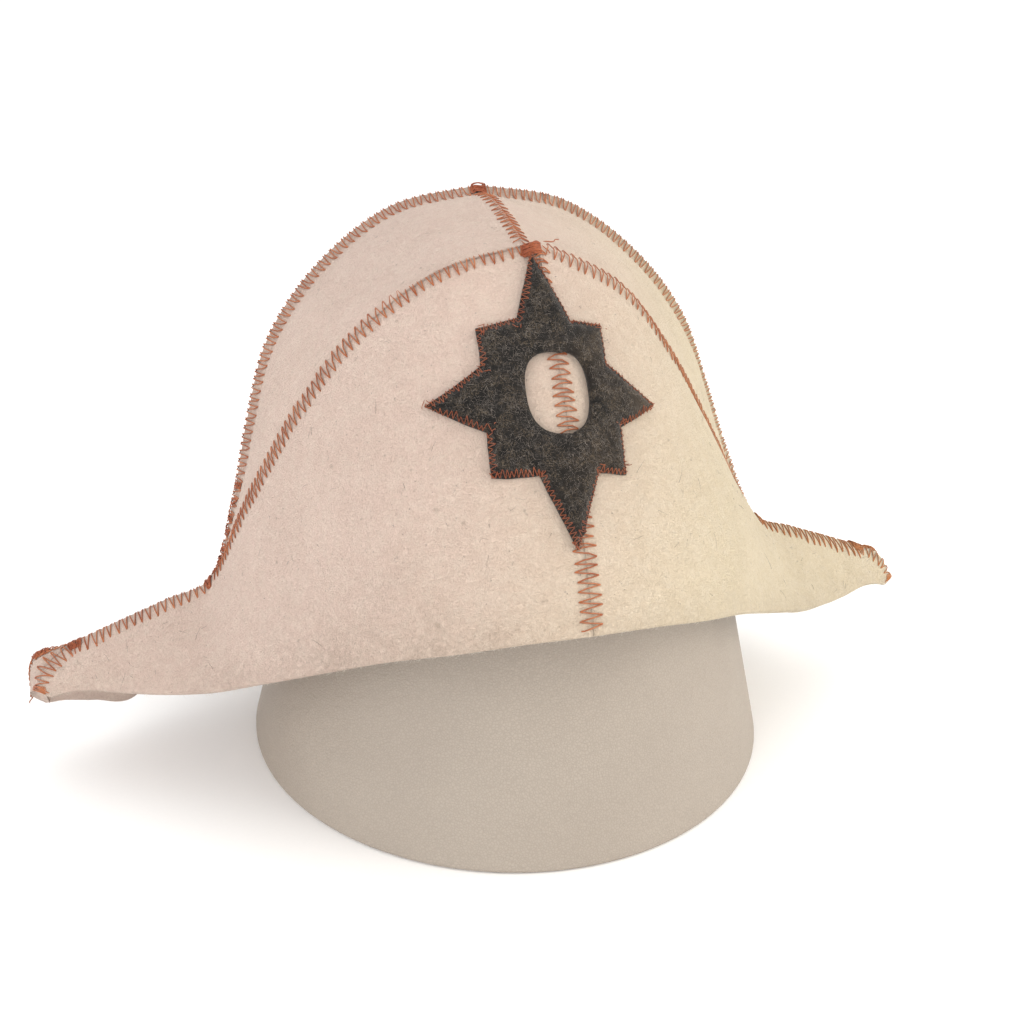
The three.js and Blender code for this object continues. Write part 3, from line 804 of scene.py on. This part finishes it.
def makeStar():
    pieces = 20
    outline = []
    for start, end in starEdges:
        for k in range(pieces):
            # Closer together near the corners
            share = 0.6 * (0.5 - 0.5 * math.cos(math.pi * k / pieces)) + 0.4 * k / pieces
            outline.append(start + (end - start) * share)
    outline = np.array(outline)
    ripple = np.array([noise.noise(Vector((p[0] / 5, p[1] / 5, 3))) for p in outline])
    outline = outline * (1 + star["ripple"] * ripple[:, None])
    hole = holeEdge(np.arctan2(outline[:, 1] / star["height"], outline[:, 0] / star["width"]))
    shares = np.concatenate([[0, 0.012, 0.03, 0.06], np.linspace(0.1, 0.9, 18), [0.94, 0.97, 0.988, 1]])
    flat = hole[:, None] + (outline - hole)[:, None] * shares[None, :, None]
    fromHole = shares[None, :] * lengthOf(outline - hole)[:, None]
    top = hat["gap"] + starHeight(flat) - star["holeDrop"] * bell(fromHole, 0.9)
    top[:, -1] -= star["edgeDrop"]
    point, out = overFront(flat, top)
    lump = star["bigLump"] * lumps(point, 7, 8) + star["smallLump"] * lumps(point, 2.6, 9)
    point = point + out * (lump * np.clip(outlineAway(flat) / 2.5, 0.1, 1))[..., None]
    foot = overFront(flat, np.full_like(top, star["footHeight"]))[0]
    # One more point rounds the cut edge, outside and in the hole
    outside = (point[:, -1:] + foot[:, -1:]) / 2 + unit(point[:, -1:] - point[:, -3:-2]) * 0.25
    inside = (point[:, :1] + foot[:, :1]) / 2 - unit(point[:, 2:3] - point[:, :1]) * 0.3
    sections = np.concatenate([point, outside, foot[:, ::-1], inside], 1)
    faces = loopFaces(*sections.shape[:2], closed=True)
    return makeObject("starPatch", settled(sections.reshape(-1, 3)), faces, darkFelt)


stands(makeStar(), "star")
print("stage: star made")

# Thread: tubes that follow a list of points

thread = {
    "radius": 0.23, "sides": 6, "period": 2.95, "halfWidth": 3.5, "ply": 1.1, "knotRadius": 0.19,
    "dive": -0.45, "foldLift": 0.12, "foldShare": 0.045, "foldClear": 0.07, "bow": 0.12,
}


def smoothPath(path, each=3):
    # Rounds a path of corners without leaving them
    last = len(path) - 1
    return spline(np.array([path[0], *path, path[-1]]), np.linspace(0, last, last * each + 1))


def newBatch():
    return {"points": [], "faces": [], "ply": [], "count": 0}


def sweep(path, radius, sides, batch):
    # Adds one tube to a batch of points, faces and ply values
    run = unit(np.gradient(path, axis=0))
    sideways = unit(np.cross(run, np.array([0.31, 0.22, 0.92])))
    other = np.cross(sideways, run)
    turns = np.arange(sides) / sides * 2 * math.pi
    travel = travelled(path)
    ring = sideways[:, None] * np.cos(turns)[None, :, None] + other[:, None] * np.sin(turns)[None, :, None]
    count = len(path)
    ends = np.minimum(1, np.minimum(np.arange(count), np.arange(count)[::-1]) * 0.7 + 0.3)
    ply = 0.5 + 0.5 * np.sin(travel[:, None] / thread["ply"] * 2 * math.pi + 2 * turns[None, :])
    points = path[:, None] + ring * ((radius * ends)[:, None] * (0.88 + 0.16 * ply))[..., None]
    base = batch["count"]
    batch["faces"] += loopFaces(count, sides, base, flip=True)
    batch["faces"].append(tuple(base + j for j in reversed(range(sides))))
    batch["faces"].append(tuple(base + (count - 1) * sides + j for j in range(sides)))
    batch["points"].append(points.reshape(-1, 3))
    batch["ply"].append(ply.reshape(-1))
    batch["count"] += count * sides


def travelled(path):
    return np.concatenate([[0], np.cumsum(lengthOf(np.diff(path, axis=0)))])


def finishBatch(batch, name, material):
    points = settled(np.concatenate(batch["points"]))
    made = makeObject(name, points, batch["faces"], material, {"ply": np.concatenate(batch["ply"])})
    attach(made, "root")


# Each seam is a function of how far along it and how far to either side, giving points and outward directions

def either(mask, first, second):
    return tuple(np.where(mask[..., None], a, b) for a, b in zip(first, second))


def onPanel(face, side, place, rise, near):
    return panelPoint(face, side, place, rise), panelOut(face, side, near, rise)


def upright(seam, least):
    # Moves along the seam as it goes to the side, so that a stitch stands square to the seam
    def at(place, away):
        middle = seam(place, 0 * away)[0]
        ahead = (seam(place + 0.01, 0 * away)[0] - middle) / 0.01
        aside = seam(place, np.where(away < 0, -1.0, 1.0))[0] - middle
        lean = np.sum(aside * ahead, -1) / np.maximum(np.sum(ahead * ahead, -1), 1e-6)
        return seam(np.maximum(place - np.clip(lean, -0.3, 0.3) * np.abs(away), least), away)
    return at


def edgeSeam(face, side, surface, outOf, most, least, *slid):
    # The upper edge of a panel, with a strip on its other side
    def at(place, away):
        half = lengthOf(surface(side, place, 0.8) - surface(side, place, -0.8)) / 1.6
        rise = 1 - np.maximum(-away, 0) / np.maximum(panelHeight(face, side, place), 4)
        over = face * (1 - np.minimum(np.maximum(away, 0) / np.maximum(half, 0.5), most))
        beyond = surface(side, place, over, *slid), outOf(side, place, over)
        return either(away <= 0, onPanel(face, side, place, rise, place), beyond)
    return upright(at, least)


def crownSeam(face, side):
    return edgeSeam(face, side, stripPoint, stripOut, 0.9, 0, 0)


def tipSeam(face, side):
    return edgeSeam(face, side, tipPoint, tipOut, 0.85, tipBegin)


def ridgeSeam(side):
    def at(place, away):
        rises = [1 - np.maximum(face * away, 0) / panelHeight(face, side, place) for face in (-1, 1)]
        front, back = (onPanel(face, side, place, rise, place) for face, rise in zip((-1, 1), rises))
        return either(away <= 0, front, back)
    return upright(at, crownEnd)


def middleSeam(face):
    def at(rise, away):
        each = lengthOf(panelPoint(face, 1, 0.3, rise) - panelPoint(face, 1, 0, rise)) / 0.3
        place = np.abs(away) / each
        left, right = (onPanel(face, side, place, rise, np.maximum(place, 0.02)) for side in (-1, 1))
        return either(away <= 0, left, right)
    return at


def topSeam(over, away):
    each = lengthOf(stripPoint(1, 0.3, over) - stripPoint(1, 0.001, over)) / 0.3
    place = np.maximum(np.abs(away) / each, 0.001)
    near = np.maximum(place, 0.03)
    left, right = ((stripPoint(side, place, over), stripOut(side, near, over)) for side in (-1, 1))
    return either(away <= 0, left, right)


def evenly(seam, start, end):
    # A table from travelled millimetres to the seam's own parameter
    spots = np.linspace(start, end, 300)
    return travelled(seam(spots, np.zeros_like(spots))[0]), spots


def sewPath(seam, travel, spots, stitches):
    # Points from rows of travel along the seam, distance to its side and height over the felt
    run, away, high = np.array(stitches).T
    point, out = seam(np.interp(np.clip(run, 0, travel[-1]), travel, spots), away)
    return point + out * high[:, None]


def zigzag(seam, start, end, batch, left, right, seed, period=None, radius=None, lift=0.22, ragged=0.06):
    # Left and right are the widths on the seam's two sides, or pairs of widths at its start and its end
    dice = random.Random(seed)
    travel, spots = evenly(seam, start, end)
    period = period or thread["period"]
    count = max(2, round(travel[-1] / period * 2))
    left = left if isinstance(left, tuple) else (left, left)
    right = right if isinstance(right, tuple) else (right, right)
    where, away = [], []
    for k in range(count + 1):
        share = k / count
        where.append(share * travel[-1] + dice.gauss(0, ragged * period))
        width = right[0] + (right[1] - right[0]) * share if k % 2 else -left[0] - (left[1] - left[0]) * share
        away.append(width * (1 + dice.gauss(0, ragged)))
    stitches = []
    for k in range(count):
        bow = dice.gauss(0, thread["bow"])
        # Each stroke dives in at its end, and two points lie by the seam itself, where the felt folds
        fold = abs(away[k]) / (abs(away[k]) + abs(away[k + 1]))
        beats = [(share, lift) for share in (0.16, 0.38, 0.62, 0.84)]
        beats += [(0.06, 0.6 * lift), (0.94, 0.6 * lift)]
        beats = [beat for beat in beats if abs(beat[0] - fold) > thread["foldClear"]]
        beats += [(fold + sign * thread["foldShare"], lift + thread["foldLift"]) for sign in (-1, 1)]
        beats.append((0, thread["dive"]))
        for share, high in sorted(beats):
            run = where[k] + (where[k + 1] - where[k]) * share + bow * math.sin(math.pi * share)
            stitches.append((run, away[k] + (away[k + 1] - away[k]) * share, high))
    stitches.append((where[-1], away[-1], thread["dive"]))
    sweep(sewPath(seam, travel, spots, stitches), radius or thread["radius"], thread["sides"], batch)


def knot(seam, spot, batch, length, width, seed, strokes=16, height=1.2, away=0.0):
    # A bar of stitches sewn over each other to end a seam
    dice = random.Random(seed)
    travel, spots = evenly(seam, *spot)
    stitches = []
    for k in range(strokes * 2):
        run = travel[-1] / 2 + (dice.random() - 0.5) * length
        end = (width / 2) * (1 if k % 2 else -1) * (0.75 + 0.35 * dice.random())
        lean = dice.gauss(0, 1.3)
        over = height * (0.3 + 0.7 * dice.random())
        for share, high in ((0.02, 0.0), (0.3, 0.85), (0.7, 0.95), (0.95, 0.2)):
            stitches.append((run + lean * share, away - end + 2 * end * share, 0.1 + over * high))
    path = smoothPath(sewPath(seam, travel, spots, stitches), 3)
    sweep(path, thread["knotRadius"], thread["sides"], batch)


def stray(start, out, batch, length, seed, bend=(0, 0, 0), radius=0.2):
    # A loose end of thread
    dice = random.Random(seed)
    steps = 7
    heading = unit(np.array(out, float))
    path = [start - heading]
    point = start
    for step in range(steps):
        heading = unit(heading + np.array([dice.gauss(0, 0.22) for axis in range(3)]) + np.array(bend) * 0.25)
        point = point + heading * length / steps
        path.append(point)
    sweep(smoothPath(path, 2), radius, 5, batch)


wide = thread["halfWidth"]
frontThread, backThread, crownThread, knotThread = (newBatch() for part in range(4))
for side, ridgeWidth, lowWidth, radius in ((-1, (5.2, 7.6), 4.2, 0.22), (1, (7.0, 9.5), 6.0, 0.19)):
    zigzag(crownSeam(-1, side), 0.1, 5.93, frontThread, (wide, lowWidth), 4.4, 11 + side, radius=radius)
    zigzag(ridgeSeam(side), 6.08, 9.0, frontThread, ridgeWidth, 3.2, 21 + side)
    zigzag(tipSeam(-1, side), 9.02, 10.97, frontThread, (6.5, 6.0), 3.6, 31 + side)
    zigzag(crownSeam(1, side), 0.1, 5.93, backThread, 3.2, (6.0, 4.6), 41 + side)
    zigzag(tipSeam(1, side), 9.1, 10.97, backThread, wide, 5.5, 51 + side, lift=0.3)
    knot(ridgeSeam(side), (5.7, 6.15), knotThread, 3.2, 7.0, 61 + side, 13, 0.9, away=-1.2)
    knot(ridgeSeam(side), (8.85, 9.2), knotThread, 5.0, 6.5, 71 + side, 17, 1.3)
    knot(tipSeam(1, side), (9.45, 10.0), knotThread, 6.5, 4.5, 75 + side, 17, 1.0, away=1.2)
    knot(tipSeam(-1, side), (10.8, 11.0), frontThread, 3.0, 8.0, 78 + side, 9, 0.5, away=0.5)
# Clumps of thread low on the left side of the back seam
for place in (4.75, 4.95, 5.15, 5.33, 5.5, 5.66, 5.8):
    spot = (place, place + 0.16)
    knot(crownSeam(1, -1), spot, knotThread, 1.6, 4.4, round(89 + 10 * place), 4, 0.7, away=1.2)
zigzag(middleSeam(-1), 0.985, 0.80, frontThread, wide, 2.4, 81)
zigzag(middleSeam(-1), 0.79, 0.45, frontThread, 2.9, 2.9, 88)
zigzag(middleSeam(-1), 0.447, 0.012, frontThread, (3.0, 3.8), (3.0, 3.6), 89)
zigzag(middleSeam(1), 0.97, 0.012, backThread, wide, wide, 82)
zigzag(topSeam, -0.93, -0.2, crownThread, 3.4, 3.6, 83, period=3.7, radius=0.19, lift=0.14, ragged=0.07)
zigzag(topSeam, -0.19, 0.90, crownThread, 3.4, 3.6, 80, period=4.8, radius=0.18, lift=0.10, ragged=0.05)
knot(middleSeam(-1), (1.0, 0.97), knotThread, 3.0, 6.2, 84, 22, 1.3, away=-2.6)
knot(topSeam, (0.90, 1.0), knotThread, 3.6, 5.6, 85, 20, 1.1)
frontTop = panelPoint(-1, 1, 0.02, 1.0)
stray(frontTop + np.array([2.0, 0.5, 0.3]), (1, 0.25, -0.2), crownThread, 7.5, 86, bend=(0, 0, -0.12))
stray(frontTop + np.array([1.0, -1.5, -1.0]), (0.6, -0.6, -0.6), crownThread, 3, 87)
finishBatch(frontThread, "stitchesFront", rustThread)
finishBatch(backThread, "stitchesBack", rustThread)
finishBatch(crownThread, "stitchesCrown", rustThread)
finishBatch(knotThread, "stitchKnots", darkThread)
print("stage: seams stitched")

# The star is sewn on with a narrow zigzag just inside its outline
starThread = {"inner": 1.9, "outer": 0.35, "period": 1.35, "radius": 0.12}


def sewStar():
    batch = newBatch()
    dice = random.Random(7)
    flat = []
    for start, end in starEdges:
        run = end - start
        reach = lengthOf(run)
        inward = np.array([run[1], -run[0]]) / reach
        strokes = max(4, round(reach / starThread["period"] * 2))
        for k in range(strokes):
            t = (k + 0.7 * dice.random()) / strokes
            narrow = 0.5 if inward[0] < -0.2 and inward[1] < 0.1 else 1.0
            deep = starThread["inner"] * narrow * (0.55 + 0.6 * dice.random())
            if k % 2:
                deep = -starThread["outer"] * dice.random()
            spot = start + run * t + inward * deep
            if k % 2 == 0 and outlineAway(spot) < 0.6 * deep:
                spot = start + run * t + inward * min(deep, 0.5)
            flat.append(spot)
    # The thread dives in at each turn of the zigzag
    steps = 4
    path, lift = [], []
    for a, b in zip(flat, flat[1:] + flat[:1]):
        for step in range(steps):
            path.append(a + (b - a) * step / steps)
            lift.append(0.16 if step else -0.12)
    path = np.array(path)
    point = overFront(path, hat["gap"] + starHeight(path) + np.array(lift))[0]
    sweep(smoothPath(point, 2), starThread["radius"], 5, batch)
    # Tufts where the sewing turns a corner
    for i, corner in enumerate(starCorners):
        for n in range(5 if i % 4 == 0 else 3):
            where = (corner * 0.95 + np.array([dice.gauss(0, 0.8), dice.gauss(0, 0.8)]))[None]
            point, out = overFront(where, hat["gap"] + starHeight(where) + 0.1)
            heading = out[0] * 0.35 + np.array([dice.gauss(0, 1), 0, dice.gauss(0, 1)])
            stray(point[0], heading, batch, 1.2 + 1.0 * dice.random(), 100 + i * 7 + n, radius=0.12)
    finishBatch(batch, "stitchesStar", darkThread)


sewStar()
print("stage: star sewn on")

# Fibres that stand off the felt

fuzz = {
    "perPanel": 2600, "alongRim": 700, "perStrip": 1300, "perTip": 120, "radius": 0.022,
    "hairs": 70, "hairRadius": 0.045, "onStar": 2600, "starRadius": 0.026,
    # Shortest length, and how much longer a few of them are
    "lengths": (0.8, 2.2), "hairLengths": (1.5, 5.5), "starLengths": (0.7, 2.6),
}


def fibres(roots, outs, lengths, radius, seed, lay=0.35, curl=0.5):
    # Each fibre is a three-sided strand of four points
    rolls = np.random.default_rng(seed)
    count = len(roots)
    aim = rolls.normal(size=(count, 3))
    flat = unit(aim - outs * np.sum(aim * outs, -1, keepdims=True))
    heading = unit(flat + outs * (lay + 0.5 * rolls.random((count, 1))))
    bend = unit(rolls.normal(size=(count, 3)))
    t = np.linspace(0, 1, 4)[None, :, None]
    reach = lengths[:, None, None]
    path = roots[:, None] - outs[:, None] * 0.08 + heading[:, None] * reach * t
    path = path + bend[:, None] * reach * curl * t ** 2 * 0.5 - outs[:, None] * reach * 0.35 * t ** 2
    sideways = unit(np.cross(heading, outs))
    upward = unit(np.cross(sideways, heading))
    size = radius * np.array([1, 0.9, 0.7, 0.3])[None, :, None]
    rings = [path + (sideways[:, None] * math.cos(angle) + upward[:, None] * math.sin(angle)) * size
             for angle in (0, 2.094, 4.189)]
    pattern = loopFaces(4, 3, flip=True)
    faces = [tuple(12 * strand + corner for corner in face) for strand in range(count) for face in pattern]
    return np.stack(rings, 2).reshape(-1, 3), faces


def lengthsFrom(rolls, count, shortest, more):
    return shortest + more * rolls.random(count) ** 2


def grow(name, material, patches, rolls, spans, *way, **more):
    # Patches are pairs of root points and outward directions
    roots, outs = (np.concatenate(part) for part in zip(*patches))
    points, faces = fibres(roots, outs, lengthsFrom(rolls, len(roots), *spans), *way, **more)
    made = makeObject(name, settled(points), faces, material)
    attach(made, "root")


def scatter(surface, outOf, lowA, highA, lowB, highB, count, seed):
    rolls = np.random.default_rng(seed)
    a = lowA + (highA - lowA) * rolls.random(count)
    b = lowB + (highB - lowB) * rolls.random(count)
    return surface(a, b), outOf(a, b)


def makeFuzz():
    rolls = np.random.default_rng(5)
    for face, word in ((-1, "Front"), (1, "Back")):
        patches = []
        for side in (-1, 1):
            surface, outOf = partial(panelPoint, face, side), partial(panelOut, face, side)
            patches.append(scatter(surface, outOf, 0, tipEnd, 0, 1, fuzz["perPanel"], 20 + face + 3 * side))
            # More along the cut rim
            a = tipEnd * rolls.random(fuzz["alongRim"])
            edge, edgeOut = surface(a, 0), outOf(a, 0)
            down = unit(edge - surface(a, 0.1))
            edge = edge - edgeOut * (hat["thickness"] * rolls.random(fuzz["alongRim"]))[:, None] + down * 0.5
            patches.append((edge, unit(down + 0.4 * edgeOut)))
        grow("fuzz" + word, paleFibre, patches, rolls, fuzz["lengths"], fuzz["radius"], 31 + face)
    patches = []
    for side in (-1, 1):
        surface, outOf = partial(stripPoint, side), partial(stripOut, side)
        patches.append(scatter(surface, outOf, 0, 5.8, -1, 1, fuzz["perStrip"], 40 + side))
        surface, outOf = partial(tipPoint, side), partial(tipOut, side)
        patches.append(scatter(surface, outOf, 9.2, tipEnd, -1, 1, fuzz["perTip"], 44 + side))
    grow("fuzzCrown", paleFibre, patches, rolls, fuzz["lengths"], fuzz["radius"], 50)


def makeHairs():
    # Longer grey hairs, felted in or lying loose
    rolls = np.random.default_rng(9)
    count = fuzz["hairs"]
    points, faces, base = [], [], 0
    for face, side in corners:
        a, b = 0.3 + 9.5 * rolls.random(count), 0.05 + 0.9 * rolls.random(count)
        outs = panelOut(face, side, a, b)
        roots = panelPoint(face, side, a, b) + outs * 0.05
        lengths = lengthsFrom(rolls, count, *fuzz["hairLengths"])
        seed = 60 + face + 3 * side
        made, links = fibres(roots, outs, lengths, fuzz["hairRadius"], seed, lay=0.02, curl=0.7)
        points.append(made)
        faces += [tuple(corner + base for corner in link) for link in links]
        base += len(made)
    made = makeObject("greyHairs", settled(np.concatenate(points)), faces, greyFibre)
    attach(made, "root")


def insideStar(spot):
    hole = np.abs(spot - holeMiddle) / holeSize * 2
    if np.sum(hole ** star["holeExponent"]) < 1.05:
        return False
    inside = False
    for start, end in starEdges:
        if (start[1] > spot[1]) != (end[1] > spot[1]):
            if spot[0] < (end[0] - start[0]) * (spot[1] - start[1]) / (end[1] - start[1]) + start[0]:
                inside = not inside
    return inside


def makeStarHairs():
    rolls = np.random.default_rng(13)
    flat = []
    while len(flat) < fuzz["onStar"]:
        spot = (rolls.random(2) * 2 - 1) * starSize / 2 * 1.05
        if insideStar(spot):
            flat.append(spot)
    flat = np.array(flat)
    patch = overFront(flat, hat["gap"] + starHeight(flat))
    grow("starHairs", ashFibre, [patch], rolls, fuzz["starLengths"],
         fuzz["starRadius"], 14, lay=0.15, curl=0.8)


makeFuzz()
makeHairs()
makeStarHairs()
print("stage: fibres and hairs made")


# The stand: a round wall that narrows upward

def wallAt(z):
    return stand["radius"] + (stand["topRadius"] - stand["radius"]) * z / stand["height"]


def makeStand():
    # The profile is a list of radius and height
    height, edge, around = stand["height"], stand["edge"], stand["around"]
    base = wallAt(0)
    profile = [(0.01, 0), (base - 2, 0), (base - 1.0, 0.15), (base - 0.35, 0.7), (wallAt(1.6), 1.6)]
    profile += [(wallAt(z), z) for z in np.arange(3.0, height - edge, stand["ringStep"])]
    top = wallAt(height - edge) - edge
    for degrees in range(0, 91, 10):
        a = math.radians(degrees)
        profile.append((top + edge * math.cos(a), height - edge + edge * math.sin(a)))
    profile += [((wallAt(height) - edge) * share, height) for share in (0.75, 0.5, 0.25, 0.01)]
    radii, heights = np.array(profile).T
    angle = np.arange(around) / around * 2 * math.pi
    ring = np.stack([np.cos(angle), np.sin(angle)], -1)
    points = np.zeros((len(profile), around, 3))
    points[..., :2] = radii[:, None, None] * ring[None]
    points[..., 2] = heights[:, None]
    # The wall is a little uneven
    wall = (heights > 2) & (heights < height - 6)
    uneven = (lumps(points, 34, 21) * 0.25 - 0.15) * wall[:, None]
    points[..., :2] *= (1 + uneven / np.maximum(radii, 1)[:, None])[..., None]
    faces = loopFaces(len(profile), around, flip=True)
    faces.append(tuple(reversed(range(around))))
    faces.append(tuple((len(profile) - 1) * around + j for j in range(around)))
    return makeObject("standShell", points.reshape(-1, 3) + standSpot, faces, standPaint())


stands(makeStand(), "stand")
print("stage: stand made")

# Floor, camera and light

room = {"floorSize": 80.0, "floorPale": "#fcfbfa", "floorDeep": "#f9f8f7", "sky": 1.1}


def makeFloor():
    paint = Paint("paleFloor", Roughness=0.7, Specular_IOR_Level=0.2)
    paint.feed(Base_Color=paint.blend(paint.noise(900, 2), room["floorPale"], room["floorDeep"]))
    half = room["floorSize"] * 500
    points = [(-half, -half, -0.2), (half, -half, -0.2), (half, half, -0.2), (-half, half, -0.2)]
    floor = makeObject("floor", points, [(0, 1, 2, 3)], paint.material, smooth=False)


makeFloor()

camera = {
    "place": (-120.088, -395.232, 278.695), "lens": 42.19,
    "right": (0.96072, -0.27567, 0.03205), "up": (0.08827, 0.41298, 0.90645),
    "back": (-0.26312, -0.86802, 0.42109),
}


def makeCamera():
    data = bpy.data.cameras.new("camera")
    data.lens = camera["lens"]
    data.sensor_width = 36
    data.clip_start = 0.01
    made = addObject("camera", data)
    spot = (np.array(camera["place"]) + standSpot) / 1000
    turned = Matrix((camera["right"], camera["up"], camera["back"])).transposed().to_4x4()
    made.matrix_world = Matrix.Translation(Vector(spot)) @ turned
    bpy.context.scene.camera = made


makeCamera()

lamps = [
    # name, place in metres, size, power, colour
    ("keyLamp", (0.95, -0.55, 0.62), 0.8, 7.5, (1.0, 0.95, 0.86)),
    ("fillLamp", (-0.95, -0.65, 0.55), 1.1, 5.5, (1.0, 0.97, 0.95)),
    ("topLamp", (0.1, 0.1, 1.35), 1.3, 2.0, (1.0, 0.99, 0.97)),
]


def makeLamps():
    for name, place, size, power, colour in lamps:
        data = bpy.data.lights.new(name, "AREA")
        data.shape = "DISK"
        data.size = size
        data.energy = power
        data.color = colour
        made = addObject(name, data)
        made.location = place
        aim = Vector((0, 0, 0.1)) - Vector(place)
        made.rotation_euler = aim.to_track_quat("-Z", "Y").to_euler()
    world = bpy.data.worlds.new("paleRoom")
    bpy.context.scene.world = world
    world.use_nodes = True
    sky = world.node_tree.nodes["Background"]
    sky.inputs["Color"].default_value = (1, 1, 1, 1)
    sky.inputs["Strength"].default_value = room["sky"]


makeLamps()
bpy.context.scene.view_settings.view_transform = "Standard"
print("stage: floor, camera and light set")
